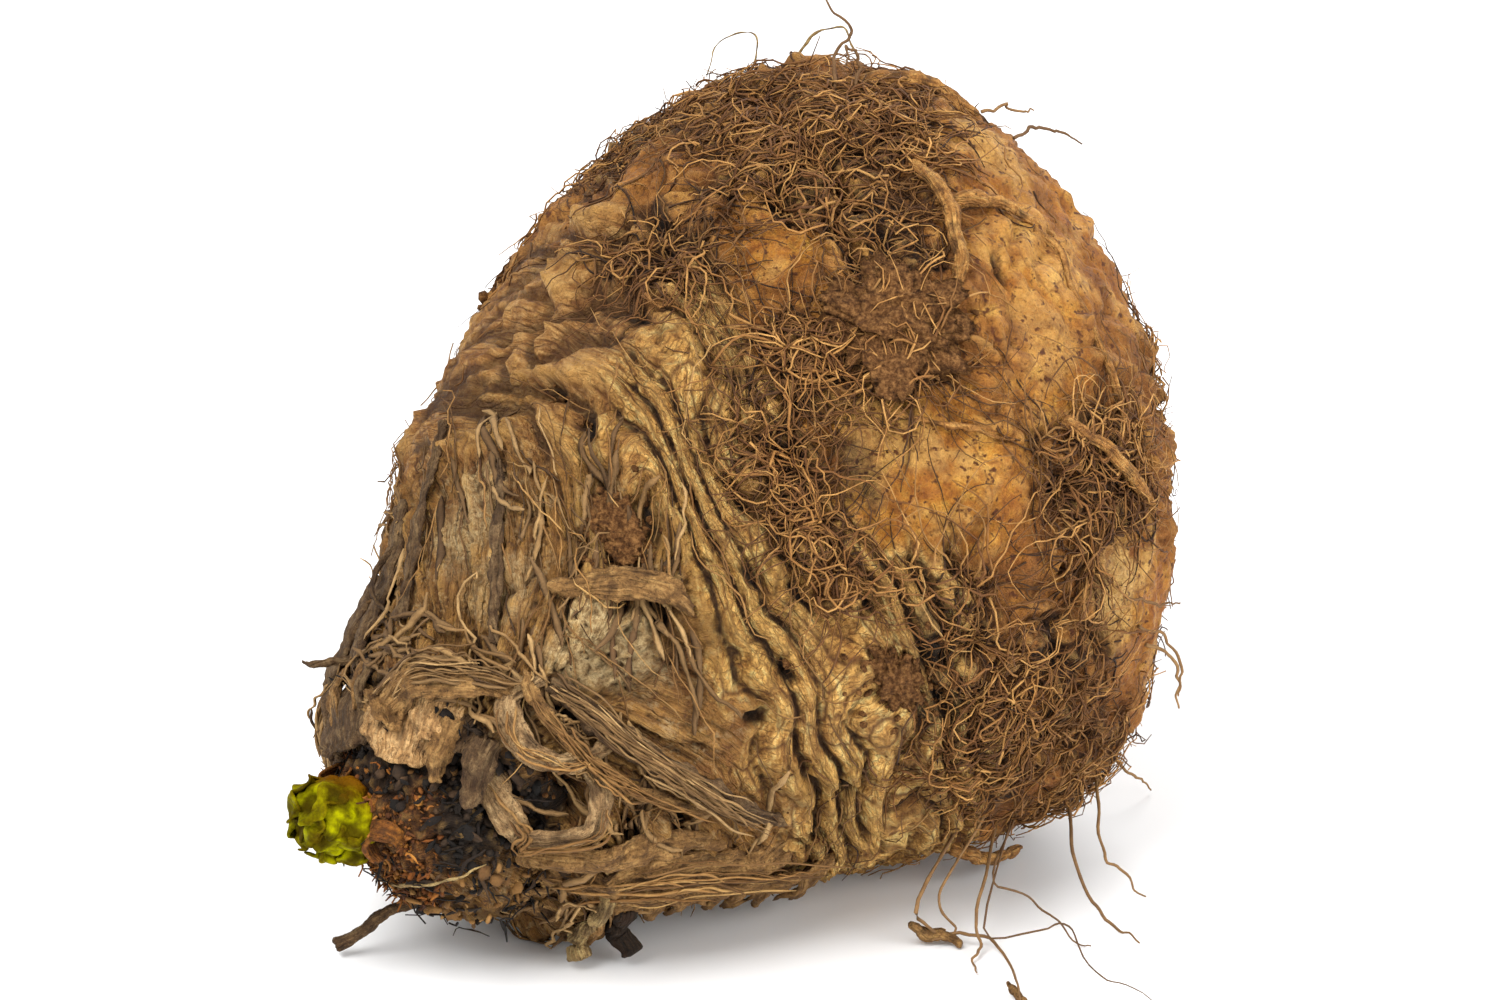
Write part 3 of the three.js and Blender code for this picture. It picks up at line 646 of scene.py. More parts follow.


# Tones of the skin, 0 to 255: ramps as rows of place, red, green and blue, then single tones: stains, and
# painted highlight and shade.
skinTones = {
    "flesh": [(0.3, 126, 76, 28), (0.44, 158, 100, 39), (0.56, 180, 119, 49), (0.7, 196, 141, 66)],
    "clean": [(0.36, 120, 63, 18), (0.45, 163, 98, 29), (0.53, 192, 127, 42), (0.62, 222, 166, 70)],
    "khaki": [(0.34, 140, 91, 41), (0.44, 199, 146, 73), (0.53, 237, 183, 100), (0.63, 255, 222, 140)],
    "dryTone": [(0.0, 74, 50, 28), (0.3, 126, 92, 52), (0.6, 168, 129, 77), (1.0, 204, 169, 110)],
    "hue": [(0.36, 196, 157, 115), (0.48, 232, 212, 171), (0.6, 255, 227, 160), (0.7, 255, 245, 212)],
    "woolly": [(0.34, 138, 104, 63), (0.48, 200, 165, 112), (0.62, 236, 208, 153)],
    "matted": [(0.3, 44, 23, 9), (0.46, 108, 63, 24), (0.62, 174, 114, 49)],
    "folded": [(0.36, 110, 68, 32), (0.48, 156, 109, 56), (0.6, 196, 149, 90)],
    "earthy": [(0.36, 58, 30, 12), (0.5, 112, 68, 26), (0.64, 156, 104, 46)],
    "cream": (238, 191, 108), "soil": (122, 72, 28), "specks": (92, 51, 20), "freckles": (92, 48, 18),
    "creases": (104, 55, 20), "crumbs": (112, 65, 25), "ridgeSoil": (122, 80, 38), "cracks": (86, 47, 20),
    "neckLight": (184, 154, 108), "neckSpots": (96, 61, 33), "foldCracks": (91, 51, 22), "gloom": (30, 18, 9),
    "moss": (152, 127, 36), "trench": (24, 16, 9), "crestHighlight": (214, 165, 88), "dipShade": (60, 35, 15),
    "hollows": (24, 15, 8), "grime": (70, 41, 18),
}


def makeSkinMaterial():
    material, tree, surface = newMaterial("cormSkinFinish", 0.72, 0.3)
    spot = spotInMm(tree)
    names = ("neck", "scar", "mat", "bare", "wool", "moss", "bulge", "crest")
    neck, scar, mat, bareShare, woolShare, mossShare, bulge, crest = (
        attributeValue(tree, name) for name in names)
    grainSpot = attributeValue(tree, "grain", True)
    fibres = useGroup(fibreGrain, Vector=grainSpot, Across=1.8, Lengthways=0.16)
    hairs = useGroup(fibreGrain, Vector=grainSpot, Across=4.2, Lengthways=0.35)
    wrinkles = useGroup(fineWrinkles, Vector=spot, Scale=0.95, Warp=0.8)
    wideNet = useGroup(fineWrinkles, Vector=spot, Scale=0.34, Warp=2.6)
    ringSpot = attributeValue(tree, "ringwise", True)
    ringStrands = useGroup(fibreGrain, Vector=ringSpot, Across=2.4, Lengthways=0.28)
    longer = vectorNode("MULTIPLY", {0: ringSpot, 1: (1.0, 1.0, 0.27)})
    leather = useGroup(fineWrinkles, Vector=longer, Scale=1.15, Warp=0.9)
    cracks = useGroup(fineWrinkles, Vector=longer, Scale=0.5, Warp=1.4)
    dirt = useGroup(soilDust, Vector=spot, Scale=0.35, Amount=0.5)
    specks = useGroup(soilDust, Vector=spot, Scale=1.5, Amount=0.38)
    patches = noiseNode(spot, 0.16, 5.0, 0.65)
    fine = noiseNode(spot, 2.2, 5.0, 0.72)
    pores = noiseNode(spot, 5.0, 3.0, 0.7)
    mottle = noiseNode(spot, 0.85, 4.0, 0.7)
    freckles = noiseNode(spot, 1.7, 2.0, 0.5)
    # bare skin: blotches, then cleaner patches, soil, specks and creases over them
    flesh = rampNode(patches, skinTones["flesh"])
    clean = rampNode(timesPlus(mottle, 0.6, times(patches, 0.4)), skinTones["clean"])
    flesh = mixColours(bareShare, flesh, clean)
    creamy = within(noiseNode(spot, 0.27, 4.0, 0.6), 7.0, -3.6)
    creamy = times(creamy, timesPlus(bareShare, 0.45, 0.1))
    pale = times(attributeValue(tree, "pale"), within(fine, 2.4, -0.4))
    creamy = larger(creamy, pale)
    flesh = mixColours(creamy, flesh, skinTones["cream"])
    soiled = times(dirt["Mask"], timesPlus(bareShare, -0.42, 0.7))
    flesh = mixColours(soiled, flesh, skinTones["soil"])
    spotted = times(specks["Mask"], timesPlus(bareShare, -0.3, 0.6))
    flesh = mixColours(spotted, flesh, skinTones["specks"])
    flesh = mixColours(within(freckles, 9.0, -5.1), flesh, skinTones["freckles"])
    creased = within(wideNet["Lines"], 2.4, -1.5)
    creased = times(creased, within(patches, 6.0, -2.6))
    flesh = mixColours(times(creased, 0.75), flesh, skinTones["creases"])
    crumbs = useGroup(soilDust, Vector=spot, Scale=0.9, Amount=0.4)
    flesh = mixColours(times(crumbs["Mask"], 0.55), flesh, skinTones["crumbs"])
    # the rings of scars: corky strands with dark cracks
    cord = timesPlus(ringStrands["Strands"], 0.3, timesPlus(fine, 0.3, times(mottle, 0.4)))
    khaki = rampNode(cord, skinTones["khaki"])
    netted = within(leather["Lines"], 2.2, -1.1)
    cracked = within(cracks["Lines"], 3.0, -1.9)
    khaki = mixColours(times(dirt["Mask"], 0.45), khaki, skinTones["ridgeSoil"])
    crossing = useGroup(fineWrinkles, Vector=ringSpot, Scale=1.6, Warp=0.4)
    netted = larger(netted, within(crossing["Lines"], 1.6, -0.9))
    lines = larger(times(netted, 0.55), times(cracked, 0.85))
    khaki = mixColours(lines, khaki, skinTones["cracks"])
    # the neck: dry fibres under a slow change of hue
    dryTone = rampNode(timesPlus(hairs["Strands"], 0.4, times(fibres["Strands"], 0.6)), skinTones["dryTone"])
    hue = rampNode(noiseNode(spot, 0.3, 4.0, 0.65), skinTones["hue"])
    neckTone = mixColours(0.75, dryTone, hue, "MULTIPLY")
    neckTone = mixColours(within(mottle, 5.0, -2.7), neckTone, skinTones["neckLight"])
    neckTone = mixColours(within(freckles, -7.0, 2.9), neckTone, skinTones["neckSpots"])
    # woolly, matted and folded parts, and how all of them meet
    woolly = rampNode(fine, skinTones["woolly"])
    matted = rampNode(fine, skinTones["matted"])
    colour = mixColours(scar, flesh, khaki)
    colour = mixColours(neck, colour, neckTone)
    folded = rampNode(cord, skinTones["folded"])
    folded = mixColours(times(cracked, 0.7), folded, skinTones["foldCracks"])
    colour = mixColours(times(bulge, 0.75), colour, folded)
    colour = mixColours(times(mat, 0.9), colour, matted)
    # painted shade, with dark soil, in the gaps under the rootlet mats
    gapShadeAndSoilMask = times(attributeValue(tree, "gloom"), within(fine, -2.0, 1.9))
    colour = mixColours(times(gapShadeAndSoilMask, 0.92), colour, skinTones["gloom"])
    colour = mixColours(times(woolShare, 0.95), colour, woolly)
    tint = times(mossShare, within(fine, 2.0, -0.55))
    colour = mixColours(tint, colour, skinTones["moss"])
    # painted shade, with dark soil, in the sunken crown
    colour = mixColours(times(attributeValue(tree, "trench"), 0.95), colour, skinTones["trench"])
    earthy = rampNode(fine, skinTones["earthy"])
    colour = mixColours(attributeValue(tree, "heart"), colour, earthy)
    # painted highlight on crests, painted shade in dips and hollows, grime in the pores
    high = within(crest, 3.2, -1.8)
    colour = mixColours(times(high, 0.36), colour, skinTones["crestHighlight"])
    low = within(crest, -4.2, 1.7)
    shaded = timesPlus(scar, 0.2, timesPlus(bareShare, -0.25, 0.72))
    colour = mixColours(times(low, shaded), colour, skinTones["dipShade"])
    colour = mixColours(times(attributeValue(tree, "hollow"), 0.92), colour, skinTones["hollows"])
    grime = within(pores, -6.0, 2.6)
    grimy = times(grime, timesPlus(bareShare, -0.3, 0.75))
    colour = mixColours(grimy, colour, skinTones["grime"])
    tree.links.new(colour, surface.inputs["Base Color"])
    # gloss and fine relief
    rough = timesPlus(dirt["Mask"], 0.2, 0.58)
    rough = larger(rough, times(mathNode("ADD", neck, scar), 0.85))
    tree.links.new(rough, surface.inputs["Roughness"])
    height = times(timesPlus(hairs["Height"], 0.5, fibres["Height"]), neck)
    height = timesPlus(times(lines, scar), -0.8, height)
    height = timesPlus(times(ringStrands["Height"], scar), 0.6, height)
    height = timesPlus(wrinkles["Height"], 0.45, height)
    height = timesPlus(fine, 0.8, height)
    height = timesPlus(pores, 0.3, height)
    bumpFrom(tree, surface, height, 0.8)
    return material


settle(cormSkin, makeSkinMaterial(), "corm")
print("celeriac: corm skin", len(restPlaces), "points")


# Thin things that grow over the skin.
def seedSpots(rng, weight, count):
    chosen = rng.choice(len(weight), count, p=weight / weight.sum())
    return restPlaces[chosen], restNormals[chosen]


def tangentsAt(rng, normals, towards=0, spreadBy=1):
    ways = towards + rng.normal(0, spreadBy, normals.shape)
    return unit(ways - normals * (ways * normals).sum(1)[:, None])


def phasesOf(rng, count):
    return rng.uniform(0, 6, count)[:, None]


def taperOf(share):
    # blunt at the start, drawn out towards the end
    return np.clip(np.minimum(share * 9, (1 - share) * 6) + 0.35, 0, 1)


def wanderOverSkin(rng, starts, ways, steps, stepLength, bend, rises, keep=0.75):
    # every step follows the skin, turns a little, and stands off the skin by its rise in mm
    here, way = np.array(starts), np.array(ways)
    curve = rng.normal(0, bend, len(here))
    paths = np.empty((len(here), steps, 3))
    outs = np.empty((len(here), steps, 3))
    for step in range(steps):
        for i in range(len(here)):
            here[i], outs[i, step] = reliefTree.find_nearest(here[i])[:2]
        out = outs[:, step]
        paths[:, step] = here + out * rises[:, step, None] * mm
        curve = curve * keep + rng.normal(0, bend, len(here))
        way = unit(way - out * (way * out).sum(1)[:, None])
        way = way * np.cos(curve)[:, None] + np.cross(out, way) * np.sin(curve)[:, None]
        here = here + way * (stepLength * mm)[:, None]
    paths[:, :, 2] = np.maximum(paths[:, :, 2], clearance)
    return paths, outs


def tubesAlong(name, paths, outs, wide, thick, tints, layers, sides=3, twist=None):
    # one closed tapered tube for each path, with its own cell of the UV map; wide and thick are radii in mm
    count, steps, _ = paths.shape
    tangent = unit(np.gradient(paths, axis=1))
    across = unit(np.cross(outs, tangent))
    upright = np.cross(tangent, across)
    turns = np.arange(sides) / sides * 2 * math.pi
    if twist is not None:
        turned = across * np.cos(twist)[..., None] + upright * np.sin(twist)[..., None]
        upright = upright * np.cos(twist)[..., None] - across * np.sin(twist)[..., None]
        across = turned
    ringWay = (across * (wide * mm)[..., None])[:, :, None] * np.cos(turns)[None, None, :, None]
    ringWay = ringWay + (upright * (thick * mm)[..., None])[:, :, None] * np.sin(turns)[None, None, :, None]
    points = paths[:, :, None] + ringWay
    points[..., 2] = np.maximum(points[..., 2], 0)
    start = (np.arange(count)[:, None, None] * steps + np.arange(steps - 1)[None, :, None]) * sides
    side = np.arange(sides)
    after = (side + 1) % sides
    corners = [start + side, start + after, start + sides + after, start + sides + side]
    quads = np.stack(corners, 3).reshape(-1, 4)
    first = np.arange(count)[:, None] * steps * sides + side[::-1]
    last = (np.arange(count)[:, None] + 1) * steps * sides - sides + side
    mesh = bpy.data.meshes.new(name)
    mesh.from_pydata(points.reshape(-1, 3).tolist(), [], quads.tolist() + first.tolist() + last.tolist())
    mesh.shade_smooth()
    perPoint = steps * sides
    setValues(mesh, "tint", np.repeat(tints, perPoint))
    setValues(mesh, "layer", np.repeat(layers, perPoint))
    lengths = np.cumsum(np.linalg.norm(np.diff(paths, axis=1), axis=2), 1)
    lengths = np.concatenate([np.zeros((count, 1)), lengths], 1) * 1000
    grainAcross = (wide[..., None] * np.cos(turns) + tints[:, None, None] * 50).reshape(-1)
    grainUp = (thick[..., None] * np.sin(turns)).reshape(-1)
    setValues(mesh, "grain", columnsOf(grainAcross, grainUp, np.repeat(lengths, sides, 1).ravel()))
    columns = max(1, round(math.sqrt(count * 4)))
    rows = math.ceil(count / columns)
    cellX = (np.arange(count) % columns) / columns
    cellY = (np.arange(count) // columns) / rows
    stepShare = np.tile(np.repeat(np.linspace(0.04, 0.96, steps), sides), count)
    sideShare = np.tile(np.tile(np.linspace(0.12, 0.88, sides), steps), count)
    u = np.repeat(cellX, perPoint) + sideShare / columns
    v = np.repeat(cellY, perPoint) + stepShare / rows
    corner = np.empty(len(mesh.loops), np.int32)
    mesh.loops.foreach_get("vertex_index", corner)
    uvMap = mesh.uv_layers.new(name="OFBake")
    uvMap.uv.foreach_set("vector", np.stack([u[corner], v[corner]], 1).astype(np.float32).ravel())
    piece = bpy.data.objects.new(name, mesh)
    bpy.context.scene.collection.objects.link(piece)
    return piece


def makeStrandMaterial(name, shadeAndSoilTones, litTones, dustTone, dustShare, roughness=0.78, bump=0.1):
    material, tree, surface = newMaterial(name, roughness, 0.3)
    spot = spotInMm(tree)
    blotch = noiseNode(spot, 1.0)
    fine = noiseNode(spot, 6.0, 2.0)
    # strands lying lower take darker tones, painted shade with soil; the top ones take the lit tones
    value = timesPlus(attributeValue(tree, "tint"), 0.55, times(blotch, 0.45))
    litRamp = rampNode(value, [(0.2 + 0.2 * i, *colour) for i, colour in enumerate(litTones)])
    shadeAndSoilRamp = rampNode(value, [(0.25 + 0.5 * i, *colour) for i, colour in enumerate(shadeAndSoilTones)])
    colour = mixColours(attributeValue(tree, "layer"), shadeAndSoilRamp, litRamp)
    dust = useGroup(soilDust, Vector=spot, Scale=0.9, Amount=0.45)
    colour = mixColours(times(dust["Mask"], dustShare), colour, dustTone)
    tree.links.new(colour, surface.inputs["Base Color"])
    tree.links.new(timesPlus(fine, 0.3, roughness - 0.15), surface.inputs["Roughness"])
    bumpFrom(tree, surface, fine, bump, 0.7)
    return material


rootletFinish = makeStrandMaterial(
    "rootletFinish", [(18, 10, 5), (58, 34, 14)],
    [(78, 46, 20), (120, 78, 35), (156, 109, 54), (192, 144, 80)], (98, 59, 25), 0.5)

rootlet = {
    "firstSeed": 40,
    "steps": 14, "step": 0.74,   # points along each, and mm between them
    "thin": 0.06, "thick": 0.12,
    "rise": 1.3,                 # how far the top layer stands off the skin
    "loose": 0.5,                # how far some free ends lift
}


def growRootlets(name, seed, weight, count, bend, **changes):
    own = rootlet | changes
    rng = np.random.default_rng(seed)
    steps = own["steps"]
    starts, normals = seedSpots(rng, weight, count)
    ways = tangentsAt(rng, normals)
    layers = rng.uniform(0, 1, count)
    share = np.linspace(0, 1, steps)
    rises = 0.02 + layers[:, None] * own["rise"] * (0.75 + 0.25 * np.sin(share * 9 + phasesOf(rng, count)))
    rises += own["loose"] * rng.uniform(0, 1, count)[:, None] ** 4 * share ** 3 * 2.5
    stepLengths = rng.uniform(0.55, 1.25, count) * own["step"]
    paths, outs = wanderOverSkin(rng, starts, ways, steps, stepLengths, bend, rises)
    size = rng.uniform(own["thin"], own["thick"], count)[:, None] * (1.1 - 0.65 * share ** 1.5)
    size = size * (1 + 0.1 * np.sin(share * 45 + phasesOf(rng, count)))
    return tubesAlong(name, paths, outs, size, size, rng.uniform(0, 1, count), layers)


gapMask = spread(hollowMask, 4)
clodGap = 1 - 0.5 * nearTo(-0.2, 140, 4)
for i, (name, (*_, count, bend)) in enumerate(rootMats.items()):
    weight = matShares[name] ** 2 * (0.25 + np.clip(broad + edgeNoise + 0.5, 0, 1))
    weight = weight * (1 - 0.85 * gapMask) * (1 - 0.7 * gloom) * clodGap + 1e-9
    node = name.replace("rootMat", "root_mat_") if "rootMat" in name else None
    settle(growRootlets(name, rootlet["firstSeed"] + i, weight, count, bend), rootletFinish, node)
sparse = np.clip(1 - neckMask, 0, 1) * (0.25 + spread(matMask, 60) * 2) * (0.5 + broad) * (1 - 0.6 * bare)
fuzzWeight = np.clip(spread(matMask, 12) * plainMask, 0, 1) + 0.02 * plainMask
loose = {"rise": 0.35, "thin": 0.05, "thick": 0.11}
fuzz = {"steps": 6, "step": 0.35, "thin": 0.05, "thick": 0.1, "rise": 0.7, "loose": 0.8}
for name, seed, weight, count, bend, changes in (
        ("looseRootlets", 61, np.clip(sparse, 0.001, None), 340, 0.12, loose),
        ("rootFuzz", 62, fuzzWeight, 1700, 0.2, fuzz)):
    settle(growRootlets(name, seed, weight, count, bend, **changes), rootletFinish)
print("celeriac: rootlets")


# Neck: shreds of dry bark and fibres along it, and bands around its rim.
# each: the darker tones of the lowest strands, painted shade with soil, then the lit tones of the top ones
shredTones = {
    "grey": ([(54, 37, 22), (94, 67, 39)], [(100, 72, 40), (132, 99, 58), (156, 122, 76), (180, 145, 95)]),
    "tan": ([(54, 34, 15), (100, 67, 31)], [(104, 70, 33), (140, 100, 51), (164, 122, 68), (186, 147, 88)]),
}
shredFinish = makeStrandMaterial("shredFinish", *shredTones["grey"], (92, 65, 36), 0.4, 0.85, 0.15)
tanFinish = makeStrandMaterial("tanShredFinish", *shredTones["tan"], (104, 67, 32), 0.4, 0.82, 0.15)


def growShreds(name, weight, seed, count, steps, stepRange, wide, thick, rise, bend, spreadBy,
               way=None, curl=0.6, sides=4):
    # wide and thick are half sizes in mm, rise how far they stand off, spreadBy how far their ways differ
    rng = np.random.default_rng(seed)
    starts, normals = seedSpots(rng, weight, count)
    way = crownWay if way is None else way(starts, normals)
    ways = tangentsAt(rng, normals, way * rng.choice([-1, 1], count)[:, None], spreadBy)
    share = np.linspace(0, 1, steps)
    layers = rng.uniform(0, 1, count)
    lift = rng.uniform(0, 1, count)[:, None] ** 2
    rises = 0.05 + layers[:, None] * rise + lift * curl * (share ** 4 * 2.2 + (1 - share) ** 6)
    paths, outs = wanderOverSkin(rng, starts, ways, steps, rng.uniform(*stepRange, count), bend, rises)
    size = rng.uniform(*wide, count)[:, None] * taperOf(share)
    size = size * (1 + 0.25 * np.sin(share * 14 + phasesOf(rng, count)))
    twist = (rng.normal(0, 0.35, count)[:, None] + rng.normal(0, 0.9, count)[:, None] * (share - 0.4) * lift)
    thickness = thick * (0.7 + 0.6 * rng.uniform(0, 1, count)[:, None]) * np.ones(steps)
    return tubesAlong(name, paths, outs, size, thickness, rng.uniform(0, 1, count), layers, sides, twist)


def aroundWay(places, normals):
    return unit(np.cross(np.broadcast_to(crownWay, normals.shape), normals))


def barkWay(places, normals):
    # with the bark: along the neck, turned round it at the front and slantwise below
    spotAlong, spotAngle, _ = spotsOf(places)
    front = np.cos(np.clip(turnGap(spotAngle, 175) / 100, -1, 1) * math.pi / 2) ** 2
    slanted = smoothStep(spotAngle, 22, 45) * (1 - smoothStep(spotAngle, 120, 138))
    around = aroundWay(places, normals)
    return unit(crownWay - around * (0.75 * front * (1 - slanted) + 2.0 * slanted)[:, None])


huskGaps = [(38.6, 102, 3.6, 5, 1), (35.4, 123, 3, 4, 0.9)]   # the hollow and the curled husk stay clear
neckWeight = smoothStep(neckMask, 0.4, 0.9) * (1 - trenchMask) * smoothStep(-level, -40, -36)
neckWeight = neckWeight * (1 - 0.8 * wool) * (1 - patchOf(huskGaps, 0)) * np.clip(0.6 + broad * 1.6, 0.05, 1)
fibreWeight = neckWeight + 0.12 * scarMask + 1e-9
rimWeight = smoothStep(along, 33.5, 36) * (1 - trenchMask) + 1e-9

# Each kind of shred: where it lies, how it grows, finish, and which way it runs.
shreds = {
    "neckShreds": (neckWeight + 1e-9, shredFinish, barkWay, dict(
        seed=71, count=230, steps=12, stepRange=(0.3, 0.85), wide=(0.07, 0.32), thick=0.07, rise=0.45,
        bend=0.035, spreadBy=0.14)),
    "neckFibres": (fibreWeight, tanFinish, barkWay, dict(
        seed=72, count=320, steps=11, stepRange=(0.45, 1.1), wide=(0.045, 0.1), thick=0.055, rise=0.8,
        bend=0.06, spreadBy=0.2, curl=0.8, sides=3)),
    "rimShreds": (rimWeight, shredFinish, aroundWay, dict(
        seed=73, count=150, steps=12, stepRange=(0.4, 0.9), wide=(0.1, 0.3), thick=0.09, rise=0.9,
        bend=0.06, spreadBy=0.25, curl=0.7)),
}
for name, (weight, finish, way, settings) in shreds.items():
    settle(growShreds(name, weight, way=way, **settings), finish)
print("celeriac: neck shreds")


# Husks: strips of dead leaf base and stalk laid over the skin.
def smoothTrack(rows, steps):
    # one smooth curve through all the rows
    rows = np.array(rows, float)
    ends = np.vstack([2 * rows[0] - rows[1], rows, 2 * rows[-1] - rows[-2]])
    t = np.linspace(0, len(rows) - 1, steps)
    index = np.minimum(t.astype(int), len(rows) - 2)
    f = (t - index)[:, None]
    a, b, c, d = (ends[index + k] for k in range(4))
    square, cube = 2 * a - 5 * b + 4 * c - d, 3 * b - a - 3 * c + d
    return 0.5 * (2 * b + (c - a) * f + square * f ** 2 + cube * f ** 3)


def skinSpot(along, angle, height=0.0):
    out = outwardAt(angle)
    hit, normal, _, _ = restTree.ray_cast(ringMiddle(along) + out * 0.06, -out)
    return np.array(hit + normal * height * mm), np.array(normal)


def ringSpot(angle, radius, along):
    out = outwardAt(angle)
    return np.array(ringMiddle(along) + out * radius * mm), np.array(out)


def localSpot(x, y, z):
    # in the plant's own axes, from the corm's middle
    return middleArray + turnArray @ np.array([x, y, z]) * mm, np.array(crownWay)


def groundSpot(x, y, z):
    # beside the plant, from under the corm's middle, z over the surface
    return np.array([axis["middle"].x + x * mm, axis["middle"].y + y * mm, z * mm]), np.array([0, 0, 1.0])


def downTo(skinRows, groundRows):
    # a track over the skin that goes on to the floor
    return skinRows + [("ground", *row) for row in groundRows]


def spotsAlong(track, steps):
    # a smooth line through places, each (skin place) or ("ring", ...) or ("ground", ...)
    makers = {"ring": ringSpot, "ground": groundSpot, "local": localSpot}
    pairs = [makers[row[0]](*row[1:]) if isinstance(row[0], str) else skinSpot(*row) for row in track]
    return smoothTrack([p for p, _ in pairs], steps), unit(smoothTrack([n for _, n in pairs], steps))


def finishMesh(piece, thickness, levels):
    if thickness:
        wall = piece.modifiers.new("wall", "SOLIDIFY")
        wall.thickness = thickness * mm
        wall.offset = 0
    rounded = piece.modifiers.new("rounded", "SUBSURF")
    rounded.levels = rounded.render_levels = levels
    applyModifiers(piece)
    bpy.ops.object.mode_set(mode="EDIT")
    bpy.ops.mesh.select_all(action="SELECT")
    bpy.ops.mesh.normals_make_consistent(inside=False)
    bpy.ops.object.mode_set(mode="OBJECT")
    bpy.ops.object.shade_smooth()


def roughen(piece, relief, scale, seed):
    # small ridges along the grain
    mesh = piece.data
    values = np.empty(len(mesh.vertices) * 3, np.float32)
    mesh.attributes["grain"].data.foreach_get("vector", values)
    points = values.reshape(-1, 3) / [scale, scale, scale * 7]
    lumpy = noiseOf(coordsOf(mesh) * 1000 / 1.6, seed + 1, 3)
    bumps = (0.45 - np.abs(noiseOf(points, seed, 3)) * 1.5) * relief + lumpy * relief * 1.5
    places = coordsOf(mesh) + normalsOf(mesh) * (bumps * mm)[:, None]
    places[:, 2] = np.maximum(places[:, 2], 0)
    setCoords(mesh, places)
    setValues(mesh, "crest", np.clip(bumps / relief * 0.5 + 0.5, 0, 1))


strip = {"samples": 120, "fray": 0.6, "edge": 0.22, "grain": 0.45, "floorGap": 0.0003}


def framesAlong(track):
    # a track's line, with the ways out of the skin, sideways and up along it
    line, outs = spotsAlong(track, strip["samples"])
    tangents = unit(np.gradient(line, axis=0))
    sides = unit(np.cross(outs, tangents))
    return line, outs, sides, np.cross(tangents, sides)


def layStrip(name, track, widths, seed, thickness=0.5, curl=0, wave=0.4, cells=(7, 30), relief=0.22, tilt=0):
    # in mm: curl lowers the edges, wave bends the sheet, relief is the height of its fibres; tilt in degrees
    piece, x, t = newGrid(name, cells)
    ragged = noiseOf(columnsOf(x * 2.2, np.round(t) * 9, seed), seed, 3)
    t = np.clip(t + ragged * strip["fray"] * (np.abs(t - 0.5) * 2) ** 4 * 0.12, 0, 1)
    line, _, sides, ups = framesAlong(track)
    at = t * (strip["samples"] - 1)
    half = np.interp(t, np.linspace(0, 1, len(widths)), widths) / 2
    edge = half * (1 + strip["edge"] * noiseOf(columnsOf(np.sign(x) * 3, t * 9, seed + 4), seed + 2, 3))
    turned = math.radians(tilt)
    up = math.sin(turned) * x * half + curl * x ** 2
    up = up + wave * noiseOf(columnsOf(x * 0.8, t * 5, seed + 9), seed + 3, 2)
    places = rowsAt(line, at) + rowsAt(sides, at) * (x * edge * math.cos(turned) * mm)[:, None]
    places = places + rowsAt(ups, at) * (up * mm)[:, None]
    places[:, 2] = np.maximum(places[:, 2], strip["floorGap"])
    setCoords(piece.data, places)
    length = np.linalg.norm(np.diff(line, axis=0), axis=1).sum() * 1000
    setValues(piece.data, "grain", columnsOf(x * half + seed * 7, 0, t * length))
    finishMesh(piece, thickness, 1)
    roughen(piece, relief, strip["grain"], seed + 20)
    return piece


husk = {"roughness": 0.85, "huskDipShade": (56, 36, 21), "specks": (58, 38, 21), "bump": 0.4}


def makeHuskMaterial(name, dark, middle, light, dust):
    material, tree, surface = newMaterial(name, husk["roughness"], 0.25)
    spot = spotInMm(tree)
    fibres = useGroup(fibreGrain, Vector=attributeValue(tree, "grain", True), Across=3.2, Lengthways=0.45)
    blotch = noiseNode(spot, 0.55, 4.0)
    mottle = noiseNode(spot, 2.4, 4.0, 0.7)
    value = timesPlus(fibres["Strands"], 0.24, timesPlus(blotch, 0.4, times(mottle, 0.36)))
    colour = rampNode(value, [(0.33, *dark), (0.48, *middle), (0.62, *light)])
    # painted shade in the dips between the husk's fibres
    low = within(attributeValue(tree, "crest"), -2.4, 1.1)
    colour = mixColours(times(low, 0.7), colour, husk["huskDipShade"])
    soil = useGroup(soilDust, Vector=spot, Scale=0.8, Amount=0.46)
    colour = mixColours(times(soil["Mask"], 0.55), colour, dust)
    specks = noiseNode(spot, 4.0, 3.0, 0.7)
    colour = mixColours(within(specks, -5.0, 2.3), colour, husk["specks"])
    tree.links.new(colour, surface.inputs["Base Color"])
    height = timesPlus(soil["Height"], 0.9, mathNode("ADD", mottle, fibres["Height"]))
    bumpFrom(tree, surface, height, husk["bump"])
    return material


# Each finish: its name, then its dark, middle and light tone and the soil on it.
huskTones = {
    "tan": ("tanHusk", (81, 55, 28), (139, 101, 56), (179, 138, 82), (87, 59, 31)),
    "orange": ("orangeHusk", (112, 79, 46), (190, 145, 91), (230, 187, 129), (122, 87, 50)),
    "rust": ("rustyScale", (64, 34, 12), (120, 70, 23), (168, 107, 37), (74, 44, 16)),
    "grey": ("greyHusk", (53, 38, 23), (95, 70, 44), (134, 107, 72), (64, 46, 27)),
    "pale": ("paleHusk", (98, 72, 45), (160, 126, 84), (202, 167, 118), (98, 70, 42)),
    "dark": ("darkStub", (20, 15, 9), (38, 27, 17), (66, 49, 32), (48, 34, 22)),
    "light": ("lightStub", (104, 79, 47), (154, 125, 78), (192, 164, 108), (96, 71, 40)),
    "root": ("thickRoot", (112, 71, 32), (168, 116, 57), (204, 154, 85), (104, 65, 30)),
}
huskFinishes = {key: makeHuskMaterial(*tones) for key, tones in huskTones.items()}

